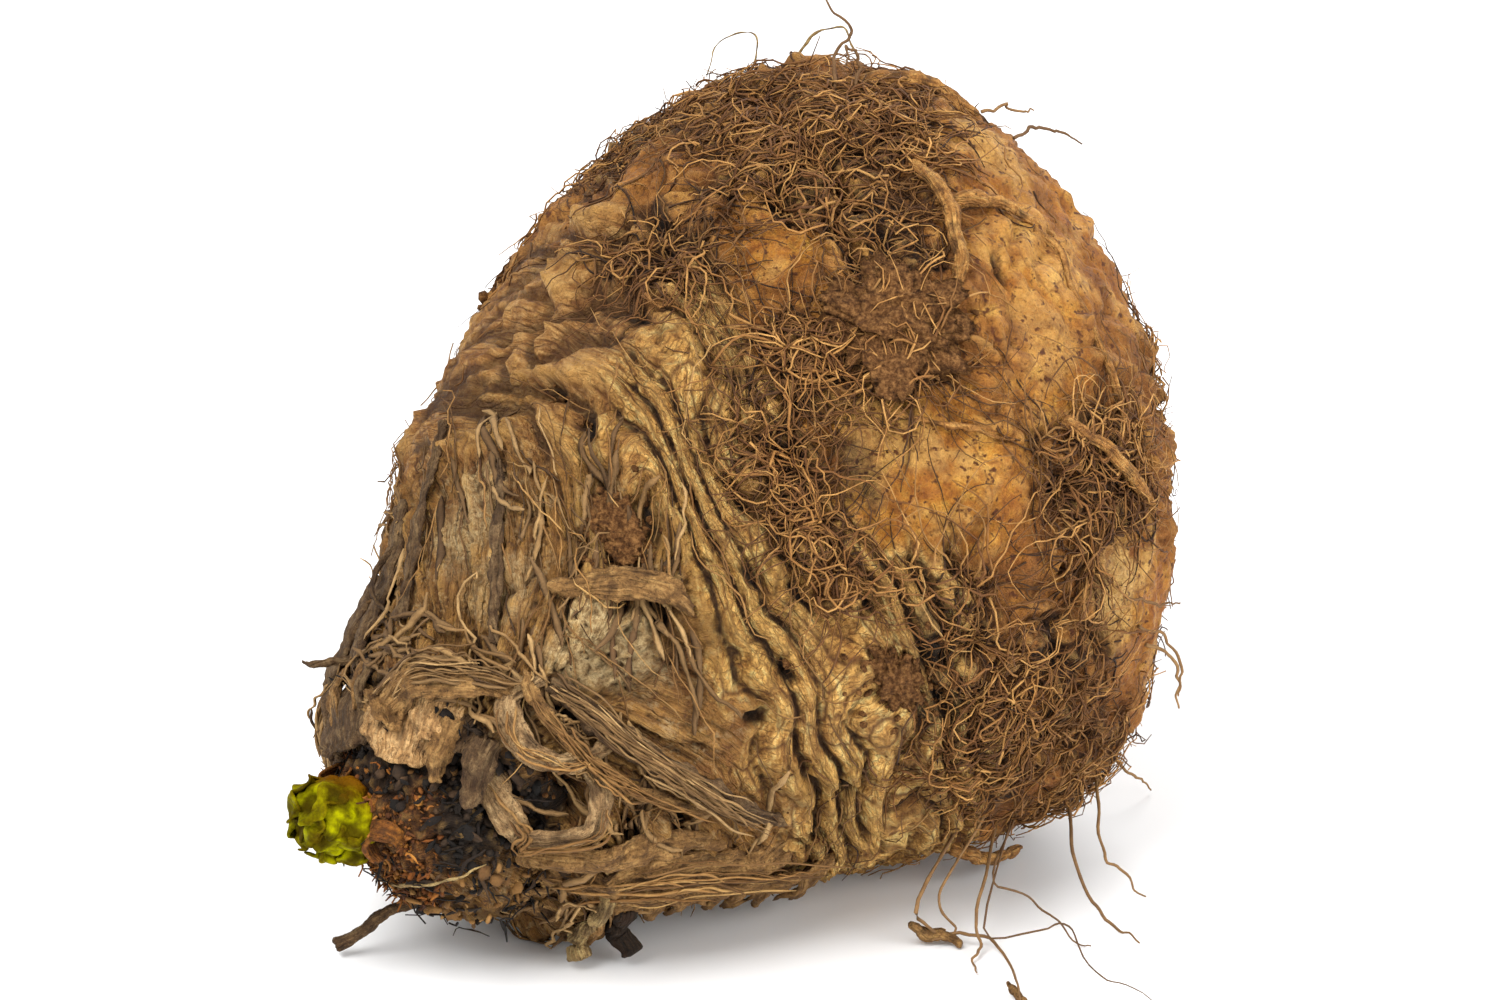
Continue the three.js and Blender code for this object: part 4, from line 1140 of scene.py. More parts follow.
# Husks about the crown. Rows of a track are along, angle and height over the skin; rows of rings are angle,
# radius and along.
husks = {
    "archBand": dict(
        node="leaf_base_1", seed=1, thickness=0.4, curl=-0.3, wave=0.5, cells=(8, 40),
        track=[(39.4, 206, 0.8), (40, 188, 1.6), (39.2, 168, 1.9), (37.6, 152, 1.6), (36, 140, 0.9)],
        widths=[1.2, 2.6, 2.8, 2.4, 1]),
    "pointedFlap": dict(
        node="leaf_base_4", seed=2, thickness=0.3, curl=0.4, cells=(6, 14),
        rings=[(186, 11.5, 40.2), (176, 10.4, 41.8), (170, 9.8, 42.6)], widths=[3.4, 2.2, 0.5]),
    "lowerLobe": dict(
        node="leaf_base_5", seed=3, thickness=0.6, curl=-0.9, wave=0.8, cells=(10, 40),
        track=[(40.4, 56, 0.6), (38.3, 58, 1.5), (36, 63, 1.9), (32.8, 62, 1.9), (29.2, 57, 1.6),
               (25.6, 56, 0.6)], widths=[3, 4, 4, 4.4, 4, 2.2]),
    "underHusk1": dict(
        node="leaf_base_6", seed=4, curl=-0.6, cells=(8, 16),
        track=[(40, 28, 0.8), (37.4, 22, 1.3), (33, 18, 0.9)], widths=[3, 5, 3]),
    "underHusk2": dict(
        node="leaf_base_7", finish="grey", seed=5, thickness=0.6, curl=-1,
        track=[(40.6, 330, 0.9), (37, 326, 1.6), (31, 323, 1.6), (25, 322, 0.8)], widths=[3, 7, 6, 2]),
    "farHusk1": dict(
        node="leaf_base_8", seed=6, thickness=0.6, curl=-1,
        track=[(41, 290, 0.9), (38, 284, 1.8), (33, 281, 1.7), (27, 282, 0.8)], widths=[3, 7, 6, 2.4]),
    "farHusk2": dict(
        node="leaf_base_9", finish="grey", seed=7, thickness=0.6, curl=-0.8,
        track=[(40.8, 252, 0.9), (37.6, 248, 1.6), (32, 247, 1.5), (26, 250, 0.7)], widths=[3, 6.4, 6, 2.4]),
    "farHusk3": dict(
        node="leaf_base_10", finish="grey", seed=8, curl=-0.4,
        track=[(40.2, 224, 0.5), (37, 219, 0.8), (31, 216, 0.8), (25, 218, 0.5)], widths=[2.4, 4, 3.6, 1.8]),
    "innerHusk1": dict(
        finish="orange", seed=9, curl=-0.8, relief=0.14, cells=(10, 20),
        rings=[(174, 12.2, 37.5), (172, 10.6, 40.5), (168, 8.8, 43), (166, 8, 44.2)],
        widths=[6, 7.4, 6.6, 3.6]),
    "innerHusk2": dict(
        finish="grey", seed=10, curl=-0.6, cells=(10, 20),
        rings=[(144, 12.2, 36.5), (142, 11.2, 39), (140, 10.4, 40.6), (138, 10, 41.4)],
        widths=[6.5, 6.5, 5, 2.4]),
    "innerHusk3": dict(
        finish="grey", seed=11, curl=-0.8, cells=(10, 20),
        rings=[(214, 12, 37), (212, 10.4, 40.5), (208, 8.8, 43.4), (206, 8.2, 44.6)], widths=[8, 9, 8, 4]),
    "innerHusk4": dict(
        finish="grey", seed=12, curl=-0.8, cells=(10, 20),
        rings=[(262, 12, 37), (262, 10.4, 40), (260, 9, 42.4), (258, 8.6, 43.4)], widths=[8, 9, 8, 4]),
    "innerHusk5": dict(
        seed=13, curl=-0.8, cells=(10, 20),
        rings=[(322, 12, 37), (322, 10.6, 40), (320, 9.4, 42), (318, 9, 42.8)], widths=[8, 9, 8, 4]),
    "underHusk3": dict(
        seed=14, curl=-0.6, cells=(9, 18),
        rings=[(30, 13, 35), (28, 11.8, 38), (26, 10.6, 40.4), (24, 10, 41.6)], widths=[7, 8, 7, 4]),
    "hollowHusk": dict(
        node="leaf_base_2", finish="pale", seed=31, thickness=0.6, curl=-0.4, wave=0.25, relief=0.14, tilt=22,
        cells=(9, 48),
        track=[(39.8, 125, 0.8), (40.7, 112, 1.5), (41.3, 100, 2), (41.2, 92, 2.1), (40.1, 88.5, 2.1),
               (38.5, 90, 2.1), (37.1, 95, 1.9), (36.3, 102, 1.4), (36.2, 108, 0.6)],
        widths=[3.4, 2.8, 2.4, 2.2, 2.4, 2.3, 2.1, 1.8, 0.9]),
    "curledHusk": dict(
        node="leaf_base_3", finish="pale", seed=32, curl=-0.4, wave=0.3, relief=0.14, tilt=24, cells=(8, 40),
        track=[(34.2, 138, 0.4), (36.6, 140, 0.9), (37.8, 135, 1.3), (38.4, 127, 1.6), (38.1, 119, 1.6),
               (37, 114, 1.5), (35.6, 112, 1.4), (33.6, 113, 0.6)],
        widths=[0.8, 1.8, 2.4, 2.5, 2.2, 2, 1.7, 0.8]),
    "rimFlap": dict(
        finish="orange", seed=39, thickness=0.4, curl=-0.5, wave=0.6, relief=0.14, cells=(8, 16),
        rings=[(161, 12.8, 37.6), (159, 11.8, 39.8), (156, 10.6, 41.4), (154, 10, 42.2)],
        widths=[3.6, 4.4, 3.4, 1.2]),
    "greyFlap": dict(
        finish="grey", seed=34, thickness=0.4, curl=-0.5, wave=0.5, cells=(7, 18),
        rings=[(134, 12.2, 39.8), (130, 11.2, 41.4), (124, 10.2, 42.8), (118, 9.6, 43.8)],
        widths=[2.2, 2.8, 2.2, 0.7]),
    "smallFlap": dict(
        seed=35, thickness=0.35, curl=-0.5, wave=0.5, cells=(6, 16),
        rings=[(150, 11.6, 40.2), (147, 10.2, 42), (142, 9, 43.4), (138, 8.6, 43.8)],
        widths=[1.6, 2, 1.4, 0.4]),
    "lobeTop": dict(
        seed=36, curl=-0.7, wave=0.7, cells=(8, 40),
        track=[(40.6, 66, 0.8), (40, 73, 1.6), (38.3, 76, 2), (35.9, 76, 1.9), (32.9, 73, 1.4),
               (30, 68, 0.6)],
        widths=[2, 2.6, 2.4, 2.6, 2.2, 1]),
    "lobeEnd": dict(
        seed=37, curl=-0.6, wave=0.7, cells=(8, 36),
        track=[(37.6, 44, 0.8), (33.6, 47, 1.7), (29.6, 44, 1.7), (25.6, 45, 1.4), (21.6, 47, 0.5)],
        widths=[2, 3.6, 4, 3.6, 1.6]),
    "rimStrand": dict(
        seed=38, thickness=0.35, curl=-0.2, wave=0.3, cells=(5, 44),
        track=[(34.6, 144, 0.6), (35.6, 136, 1.6), (36, 124, 1.8), (35.7, 112, 1.7), (34.5, 99, 1.5),
               (32.6, 88, 1.2), (30.4, 80, 0.8)], widths=[0.5, 1, 0.9, 1, 1, 0.9, 0.4]),
    "diagonalStrap": dict(
        node="stalk_strap_1", finish="grey", seed=15, thickness=0.4, curl=-0.3, relief=0.3, cells=(8, 40),
        track=[(34.4, 136, 0.5), (33.9, 126, 1), (33.1, 110, 1.3), (31.1, 94, 1.3), (28.7, 80, 1.1),
               (26, 69, 0.4)], widths=[1, 1.6, 2, 2.2, 1.7, 0.6]),
    "reddishStrap": dict(
        node="stalk_strap_2", seed=16, thickness=0.35, curl=-0.5, cells=(8, 30),
        track=[(29.3, 155, 0.6), (27.6, 148, 1.3), (25.9, 142, 1.7), (24.8, 136, 1.6), (24.6, 129, 0.6)],
        widths=[0.8, 2.4, 2.7, 2, 0.7]),
    "uprightStrap": dict(
        node="stalk_strap_3", finish="grey", seed=17, thickness=0.3, cells=(5, 34),
        track=[(22.4, 186, 0.3), (27, 176, 0.8), (31, 166, 0.9), (34.6, 155, 0.5)],
        widths=[0.4, 1.1, 1.2, 0.7]),
    "leftStrap": dict(
        node="stalk_strap_4", finish="grey", seed=18, thickness=0.3, cells=(5, 34),
        track=[(20, 206, 0.4), (28, 200, 0.9), (35.4, 190, 0.6)], widths=[0.6, 1.5, 1]),
    "farStrap": dict(
        node="stalk_strap_5", seed=19, thickness=0.35, cells=(6, 30),
        track=[(33, 302, 0.6), (28.6, 294, 1.1), (23.4, 276, 0.6)], widths=[0.8, 2.4, 0.8]),
}
for name, settings in husks.items():
    node, finish = settings.pop("node", None), settings.pop("finish", "tan")
    if "rings" in settings:
        settings["track"] = [("ring", *row) for row in settings.pop("rings")]
    settle(layStrip(name, **settings), huskFinishes[finish], node)


def joinPieces(name, parts):
    deselectAll()
    for part in parts:
        part.select_set(True)
    bpy.context.view_layer.objects.active = parts[0]
    bpy.ops.object.join()
    parts[0].name = name
    return parts[0]


# Frayed flaps round the rim at the back and below, then a row of teeth along the lowest husk.
flaps = {
    "count": 13, "angles": (196, 402), "lean": (-14, 14), "length": (2, 4.2), "width": (1, 2.6), "seed": 200,
}
teeth = {
    "count": 13, "from": 38.4, "to": 22.5, "angle": 46, "reach": (4, 11), "width": (0.9, 1.9), "seed": 260,
}
small = {"thickness": 0.3, "curl": -0.3, "cells": (3, 7)}
rng = np.random.default_rng(120)
for name, finish in (("tanFlaps", "tan"), ("greyFlaps", "grey")):
    parts = []
    for i in range(flaps["count"]):
        at, lean, length, width = (rng.uniform(*flaps[key]) for key in ("angles", "lean", "length", "width"))
        share = length / flaps["length"][1]
        tip = 40.8 + 1.6 * share + rng.uniform(-0.4, 0.6)
        track = [("ring", at, 12.6, 38.6), ("ring", at + lean * 0.4, 12.2 - share, 40.2 + share * 0.6),
                 ("ring", at + lean, 11.6 - 2.4 * share, tip)]
        widths, seed = [width, width * 1.1, width * 0.5, 0.3], flaps["seed"] + i + len(name)
        parts.append(layStrip(name, track, widths, seed, wave=0.6, relief=0.14, **small))
    settle(joinPieces(name, parts), huskFinishes[finish])
parts = []
for i, at in enumerate(np.linspace(teeth["from"], teeth["to"], teeth["count"])):
    reach = rng.uniform(*teeth["reach"])
    track = [(at, teeth["angle"], 0.7), (at + rng.uniform(-0.5, 0.5), teeth["angle"] - reach, 1.5),
             (at + rng.uniform(-0.8, 0.8), teeth["angle"] - 2 * reach, 1.7)]
    widths = [1.2, rng.uniform(*teeth["width"]), 0.3]
    parts.append(layStrip("edgeTeeth", track, widths, teeth["seed"] + i, wave=0.5, relief=0.12, **small))
settle(joinPieces("edgeTeeth", parts), huskFinishes["tan"])
print("celeriac: husks")


# Fibres: points along each, radii and lift in mm, sideways sway, and which part of its track each covers.
bundle = {"steps": 26, "wide": (0.06, 0.16), "lift": 0.5, "wave": 0.9 * 0.35, "part": (0.15, 0.7)}


def growBundle(name, seed, track, count, spreadBy):
    # many dry fibres side by side along one track
    rng = np.random.default_rng(seed)
    steps = bundle["steps"]
    line, outs, sideways, _ = framesAlong(track)
    span = rng.uniform(*bundle["part"], count)
    first = rng.uniform(0, 1, count) * (1 - span)
    share = np.linspace(0, 1, steps)
    last = strip["samples"] - 1
    at = (first[:, None] + span[:, None] * share) * last
    layers = rng.uniform(0, 1, count)
    offset = np.clip(rng.normal(0, 0.5, count), -1, 1)[:, None] * spreadBy * (1 + 0.15 * (share - 0.5))
    swings = rng.uniform(4, 14, count)[:, None]
    offset = offset + bundle["wave"] * np.sin(at / last * swings + phasesOf(rng, count))
    rises = layers[:, None] * bundle["lift"]
    rises = rises + rng.uniform(0, 1, count)[:, None] ** 3 * (share ** 5 * 1.2 + (1 - share) ** 7 * 0.8)
    phase = rng.uniform(0, 6, (count, 2, 1))
    offset = offset + 0.12 * np.sin(share * 19 + phase[:, 0]) * rng.uniform(0, 1, (count, 1))
    rises = rises + 0.1 * np.sin(share * 15 + phase[:, 1])
    paths = rowsAt(line, at) + rowsAt(sideways, at) * (offset * mm)[..., None]
    paths = paths + rowsAt(outs, at) * (rises * mm)[..., None]
    size = rng.uniform(*bundle["wide"], count)[:, None] * taperOf(share)
    twist = rng.normal(0, 0.5, count)[:, None] + rng.normal(0, 1.0, count)[:, None] * share
    tints = rng.uniform(0, 1, count)
    return tubesAlong(name, paths, rowsAt(outs, at), size, size * 0.5, tints, layers, 4, twist)


# Each bundle: finish, seed, how many fibres, how many mm they spread to each side, and the track.
bundles = {
    "strapFibres": ("grey", 111, 50, 1.2,
        [(34.4, 136, 0.8), (33.9, 126, 1.4), (33.1, 110, 1.7), (31.1, 94, 1.7), (28.7, 80, 1.4),
         (26, 69, 0.6)]),
    "rimFibres": ("tan", 118, 14, 0.5,
        [(34.6, 144, 0.8), (35.6, 136, 1.8), (36, 124, 2.1), (35.7, 112, 2), (34.5, 99, 1.8), (32.6, 88, 1.4),
         (30.4, 80, 1)]),
    "hollowFibres": ("tan", 112, 10, 0.7,
        [(40, 124, 1.4), (40.9, 110, 2.1), (41.5, 99, 2.7), (41.1, 90, 2.7), (39.6, 87, 2.7), (38, 90, 2.6),
         (36.6, 98, 2)]),
    "curlFibres": ("tan", 113, 12, 0.7,
        [(36.4, 140, 1.3), (38, 134, 1.9), (38.5, 126, 2.1), (38, 118, 2.1), (36.8, 113, 2),
         (34.4, 112, 1.2)]),
    "archFibres": ("grey", 114, 34, 1.3,
        [(39, 208, 0.8), (39.6, 190, 1.6), (38.8, 168, 1.8), (37, 152, 1.6), (35.4, 138, 0.8)]),
    "lobeFibres": ("tan", 115, 26, 2.4,
        [(39.8, 52, 0.8), (37, 62, 1.9), (31.6, 60, 2.1), (26.5, 53, 1.6), (21, 45, 0.6)]),
    "crownFibres": ("grey", 116, 60, 1.6,
        [(38.5, 222, 0.8), (39.4, 250, 1.6), (39, 285, 1.8), (38.6, 320, 1.6), (38.4, 350, 1.2)]),
    "slitFibres": ("grey", 117, 16, 1.2,
        [(36, 130, 0.4), (35.4, 121, 0.4), (34.6, 114, 0.4)]),
    "hollowRoof": ("grey", 119, 14, 0.8,
        [(37.6, 118, 0.5), (36.6, 110, 0.5), (36.2, 104, 0.4)]),
}
for name, (finish, seed, count, spreadBy, track) in bundles.items():
    finish = tanFinish if finish == "tan" else shredFinish
    settle(growBundle(name, seed, track, count, spreadBy), finish)


# Stubs, side roots and stray roots: bent tapered rods with wrinkled bark.
def makeRod(name, track, radii, seed, sides, steps, relief, wobble, levels=0):
    # radii, relief and wobble in mm
    line, outs = spotsAlong(track, steps)
    share = np.linspace(0, 1, steps)
    wander = columnsOf(*(noiseOf(columnsOf(share * 5, k, seed), seed + k, 2) for k in range(3)))
    line = line + wander * (wobble * np.minimum(share * 5, 1) * mm)[:, None]
    size = np.interp(share, np.linspace(0, 1, len(radii)), radii)
    line[:, 2] = np.maximum(line[:, 2], size * mm * 0.9)
    size = (size * (1 + 0.14 * noiseOf(columnsOf(share * 12, 0, seed), seed + 5, 2)))[None]
    tint, layer = np.array([chanceOf(seed)]), np.array([0.7])
    piece = tubesAlong(name, line[None], outs[None], size, size, tint, layer, sides)
    if levels:
        finishMesh(piece, 0, levels)
    if relief:
        roughen(piece, relief, 0.4, seed)
    else:
        setValues(piece.data, "crest", np.full(len(piece.data.vertices), 0.6))
    return piece


stubs = {
    "darkStub": ("stalk_stub_1", "dark",
        downTo([(36.4, 36, -1), (36.2, 42, 1.2)], [(-9.6, -27, 3), (-8.2, -27.4, 1.1)]), [1, 1, 0.95, 0.95]),
    "paleStub": ("stalk_stub_2", "light",
        downTo([(37.8, 58, -0.6), (38.4, 52, 1.6)], [(-12.6, -27.6, 2.6), (-12.3, -28.2, 1)]),
        [0.6, 0.65, 0.8, 1.1]),
    "greyStick": ("stalk_stub_3", "grey",
        downTo([(43.5, 352, -1)], [(-27.6, -25.4, 3.9), (-29.6, -25.6, 2.4), (-32, -25.8, 1.1)]),
        [0.45, 0.42, 0.5, 0.62]),
    "twig": ("stalk_stub_4", "grey",
        [(36.5, 222, -0.4), (37.4, 227, 1.6), (38.4, 229, 3.2), (38.2, 233, 4.2)], [0.3, 0.28, 0.24, 0.12]),
}
for i, (name, (node, finish, track, radii)) in enumerate(stubs.items()):
    piece = makeRod(name, track, radii, 50 + i, 12, 26, relief=0.14, wobble=0.12, levels=1)
    settle(piece, huskFinishes[finish], node)

sideRoots = [
    ([(-14.2, 153, 0), (-12.4, 148, 0.9), (-10.9, 144, 1.1), (-9.2, 141, 1.2), (-7.4, 139, 1),
      (-6.4, 137, 0.1)], [0.45, 0.55, 0.62, 0.6, 0.66, 0.4]),
    ([(-11.8, 147, 0.2), (-13.8, 142, 0.6), (-15.6, 139, 0.6), (-17.2, 134, 0.2), (-19.8, 126, -0.7)],
     [0.6, 0.62, 0.5, 0.42, 0.25]),
    ([(-20.4, 173, -0.2), (-22.4, 169, 0.6), (-24.4, 164, 0.8), (-26.4, 159, 0.8), (-28.4, 150, 0)],
     [0.7, 0.85, 0.9, 0.8, 0.5]),
    ([(-5.2, 113, 0.2), (-6.6, 107, 0.5), (-7.7, 100, 0.6), (-8.8, 94, 0.5), (-10.2, 87, -0.1)],
     [0.45, 0.5, 0.55, 0.5, 0.3]),
    ([(6, 134, 0.2), (4.6, 130, 0.6), (3, 126, 0.5), (1.4, 122, 0.4), (-0.4, 117, 0.1)],
     [0.22, 0.26, 0.24, 0.2, 0.12]),
    ([(12, 40, 0.6), (8, 36, 2.4), (3, 30, 3)], [0.6, 0.6, 0.3]),
    ([(-29, 250, 0.4), (-26, 270, 1.2), (-19, 280, 0.6)], [0.4, 1, 0.3]),
    ([(-31, 60, 0.4), (-27, 48, 1.2), (-20, 44, 0.5)], [0.4, 1, 0.3]),
    ([(-8, 322, 0.4), (-15, 328, 1.2), (-22, 340, 0.5)], [0.4, 0.9, 0.3]),
]
for i, (track, radii) in enumerate(sideRoots):
    piece = makeRod(f"sideRoot{i + 1}", track, radii, 60 + i, 10, 34, relief=0.13, wobble=0.4, levels=1)
    settle(piece, huskFinishes["root"], f"side_root_{i + 1}")

strayRoots = [
    [[(-19, 173, 0), (-20.4, 175, 2.6), (-21, 174, 4.6), (-20.4, 177, 6.8)],
     [(-20, 170, 0), (-21, 171, 2.2), (-20, 172, 3.4), (-19, 171, 2.2)]],
    [[(-27.6, 140, 0.4), (-29.4, 136, 2.4), (-30.4, 126, 3.8)],
     [(-29, 150, 0.4), (-30, 146, 1.8), (-30.6, 140, 3)]],
    [downTo([(2, 46, 0.4)], [(27, -18, 6), (28.6, -19.6, 2), (30.6, -21, 0.7), (32, -24, 0.4)]),
     downTo([(0, 50, 0.4)], [(29.6, -18, 7), (31, -20, 4.6), (32.6, -21.6, 3.4)])],
    [downTo([(13, 50, 0.4)], [(14.2, -24.4, 4), (15, -23.8, 2), (16.2, -23.4, 0.9), (18, -23.6, 1),
                              (20, -24, 0.8), (21, -25.6, 0.6), (21.5, -29, 0.6), (21.7, -33, 0.8),
                              (22, -35.4, 0.9)]),
     downTo([(9, 47, 0.4)], [(19.2, -23.6, 3), (19.2, -24.8, 1.2), (18.9, -26.6, 0.5), (19.1, -29.6, 0.4)]),
     downTo([(11, 54, 0.4)], [(16.4, -22, 3.4), (17.4, -23, 1.4), (15.6, -24.6, 0.5)]),
     downTo([(7, 46, 0.4)], [(20.4, -22, 5), (23.8, -20.4, 3), (25.2, -21, 1.5), (26.6, -23.3, 0.6),
                             (28.2, -24.3, 0.4)]),
     downTo([(8, 50, 0.4)], [(19.7, -24.9, 2), (24.1, -25.3, 2.2), (26, -23.8, 2), (27.3, -25.6, 1),
                             (28.5, -30.4, 0.6), (30.3, -31.9, 0.4), (32.3, -35.2, 0.4)])],
    [[(-5, 70, 0.2), (-6, 66, 2.4), (-4, 62, 4)],
     [(-4, 76, 0.2), (-5.4, 72, 1.8), (-5, 68, 3.4), (-3.4, 66, 4.2)],
     [(-3, 84, 0.2), (-5, 80, 1.6), (-6.2, 79, 3.2)]],
    [downTo([(-12, 20, 0.6)], [(33, 6, 4), (36.2, 9, 0.6)])],
    [downTo([(-2, 312, 0.6)], [(4, 33, 8), (1, 35.4, 0.6)])],
]
thinRoots = {
    "crossingRoot": ("light",
        [("local", 4.8, -0.8, 47.3), ("local", 2.9, 2.9, 47.9), ("local", 1.7, 6.1, 47.7),
         ("local", 1.3, 8, 46.7), ("local", 1, 9.5, 45)], [0.1, 0.13, 0.12, 0.1, 0.06]),
    "leftLoop": ("grey",
        [(39.4, 217, 0.2), (40.3, 222, 1.2), (40.9, 230, 2), (40.9, 243, 2.2), (40.4, 253, 1.2),
         (39.6, 256, 0.1)], [0.3, 0.34, 0.3, 0.32, 0.3, 0.2]),
    "upperLoop": ("grey",
        [(28, 215, 0.1), (30.1, 214, 1.4), (32.4, 209, 2), (33.6, 206, 1.5), (34.4, 204, 0.1)],
        [0.2, 0.26, 0.28, 0.24, 0.18]),
    "topHair": ("light",
        [(-23.6, 192, 0.1), (-24.2, 190, 1.6), (-24.7, 186, 3.2), (-24.4, 180, 3.4), (-23.6, 176, 2),
         (-23, 174, 0.2)], [0.09, 0.09, 0.08, 0.08, 0.07, 0.06]),
    "backHair": ("light",
        [(-22, 200, 0.1), (-23.6, 201, 2.2), (-24.2, 204, 3.8), (-22.6, 208, 3.6), (-21, 210, 1.4)],
        [0.09, 0.09, 0.08, 0.07, 0.05]),
    "edgeRoot": ("root",
        [(-17.2, 131, -0.2), (-18.2, 125.5, -0.3), (-15.8, 120, -0.35), (-14.3, 114, -0.3),
         (-12.4, 106, -0.2), (-11, 101, -0.4)], [0.3, 0.42, 0.4, 0.36, 0.3, 0.2]),
    "lowKnob": ("tan",
        downTo([], [(13.8, -24.2, 2.2), (15.2, -23.4, 1), (16.6, -23.3, 0.9), (17.8, -24.2, 0.6)]),
        [0.3, 0.55, 0.45, 0.3]),
    "smallKnob": ("tan",
        downTo([], [(21.2, -31.6, 0.5), (21.6, -33.4, 0.6), (22.2, -35.2, 0.5)]), [0.16, 0.36, 0.3]),
}
strayTones = [(70, 49, 30), (96, 71, 42)], [(88, 63, 38), (112, 81, 49), (138, 103, 63), (160, 123, 76)]
strayFinish = makeStrandMaterial("strayRootFinish", *strayTones, (76, 51, 30), 0.4)
for i, branches in enumerate(strayRoots):
    made = []
    for k, track in enumerate(branches):
        size = 0.17 - 0.02 * k
        radii, seed = [size, size * 0.9, size * 0.8, size * 0.45], 80 + i * 5 + k
        made.append(makeRod(f"strayRoot{i + 1}", track, radii, seed, 6, 30, relief=0, wobble=0.5))
    settle(joinPieces(f"strayRoot{i + 1}", made), strayFinish, f"stray_root_{i + 1}")
for i, (name, (finish, track, radii)) in enumerate(thinRoots.items()):
    piece = makeRod(name, track, radii, 130 + i, 8, 30, relief=0.05, wobble=0.25)
    settle(piece, huskFinishes[finish])
print("celeriac: stubs and roots")


# Soil: clods, and crumbs strewn in the hollows.
def makeSoilMaterial():
    material, tree, surface = newMaterial("soilFinish", 0.95, 0.15)
    spot = spotInMm(tree)
    grains = noiseNode(spot, 2.4, 5.0, 0.75)
    colour = rampNode(grains, [(0.32, 44, 27, 13), (0.48, 104, 67, 35), (0.66, 162, 116, 67)])
    specks = useGroup(soilDust, Vector=spot, Scale=2.6, Amount=0.4)
    colour = mixColours(times(specks["Mask"], 0.6), colour, (60, 39, 21))
    tree.links.new(colour, surface.inputs["Base Color"])
    bumpFrom(tree, surface, mathNode("ADD", grains, specks["Height"]), 0.3)
    return material


soilFinish = makeSoilMaterial()

# Each clod: along, angle and height, then its length, breadth and thickness in mm, then its seed.
clods = [
    ((-0.4, 141, 0.2), (9.2, 9.8, 1.9), 91),
    ((16.4, 97, -0.1), (3, 5, 1.3), 98),
    ((23.4, 154, -0.3), (3.4, 5.2, 1), 97),
    ((-2, 236, 0), (4, 5, 1.3), 94),
    ((12, 292, 0.4), (5, 5.4, 2), 95),
]


def makeClod(name, at, size, seed):
    piece, shape = newBall(name, 5)
    finer = 0.5 - np.abs(noiseOf(shape * 3.0, seed + 1, 4)) * 1.6
    rough = 1 + 0.75 * noiseOf(shape * 1.5, seed, 3) + 0.4 * finer
    shape = shape * rough[:, None] * np.array(size) / 2
    spot, normal = skinSpot(*at)
    way = unit(crownWay - normal * crownWay.dot(normal))
    side = np.cross(normal, way)
    places = spot + (way * shape[:, :1] + side * shape[:, 1:2] + normal * shape[:, 2:]) * mm
    setCoords(piece.data, places)
    bpy.ops.object.shade_smooth()
    return piece


for i, clod in enumerate(clods):
    settle(makeClod(f"soilClod{i + 1}", *clod), soilFinish, f"soil_clod_{i + 1}")


def strewCrumbs(name, seed, weight, count, sizes, depth=0.3, flat=1.0):
    # one rough grain, modelled once, then copied at many sizes and turns; sizes are radii in mm
    rng = np.random.default_rng(seed)
    piece, shape = newBall(name, 1)
    cells = np.array([tuple(face.vertices) for face in piece.data.polygons])
    chosen = rng.choice(len(weight), count, p=weight / weight.sum())
    spots, normals = reliefPlaces[chosen], restNormals[chosen]
    radii = rng.uniform(0, 1, count) ** 2.2 * (sizes[1] - sizes[0]) + sizes[0]
    frames = np.linalg.qr(rng.normal(0, 1, (count, 3, 3)))[0]
    squash = rng.uniform(0.55, 1.2, (count, 1, 3)) * [1, 1, flat]
    jitter = 1 + rng.normal(0, 0.16, (count, len(shape), 1))
    points = np.einsum("nvi,nij->nvj", shape[None] * squash * jitter, frames) * (radii * mm)[:, None, None]
    points = points + (spots + normals * (radii * (rng.uniform(-depth, 1, count)) * mm)[:, None])[:, None]
    points[..., 2] = np.maximum(points[..., 2], 0)
    allCells = (cells[None] + (np.arange(count) * len(shape))[:, None, None]).reshape(-1, 3)
    flipped = (np.linalg.det(frames) < 0).repeat(len(cells))
    allCells[flipped] = allCells[flipped][:, ::-1]
    mesh = bpy.data.meshes.new(name)
    mesh.from_pydata(points.reshape(-1, 3).tolist(), [], allCells.tolist())
    piece.data = mesh
    setValues(mesh, "tint", np.repeat(rng.uniform(0, 1, count), len(shape)))
    setValues(mesh, "layer", np.repeat(rng.uniform(0, 1, count), len(shape)))
    mesh.shade_smooth()
    return piece


heartTones = [(37, 19, 9), (83, 45, 15)], [(85, 44, 13), (127, 71, 20), (158, 97, 33), (185, 127, 53)]
# the debris in the sunken crown is painted almost black: painted shade with dark soil
trenchShadedTones = [(11, 8, 5), (26, 18, 10)], [(16, 11, 7), (28, 18, 11), (44, 30, 17), (84, 60, 37)]
debrisFinish = makeStrandMaterial("heartDebris", *heartTones, (58, 32, 13), 0.45, 0.9)
trenchFinish = makeStrandMaterial("trenchDebris", *trenchShadedTones, (18, 12, 7), 0.5, 0.9)
soilWeight = (nearTo(16, 96, 3) * 2 + nearTo(23.4, 153, 2.6) * 1.6 + nearTo(12.9, 89, 3) * 1.4
              + nearTo(1, 141, 4.5) + nearTo(24.5, 146, 2.5) + nearTo(0, 228, 4) + nearTo(12, 292, 4)
              + hollowMask * 0.5)
trenchWeight = trenchMask * (1 - heartShare) * (trenchShade - 0.1) + 1e-9
frontTrench = trenchMask * (1 - heartShare) * facing(90, 100, 50) * (trenchShade - 0.1) + 1e-9
lowTrench = trenchMask * (1.02 - trenchShade) + 1e-9
heartWeight = heartShare + 1e-9

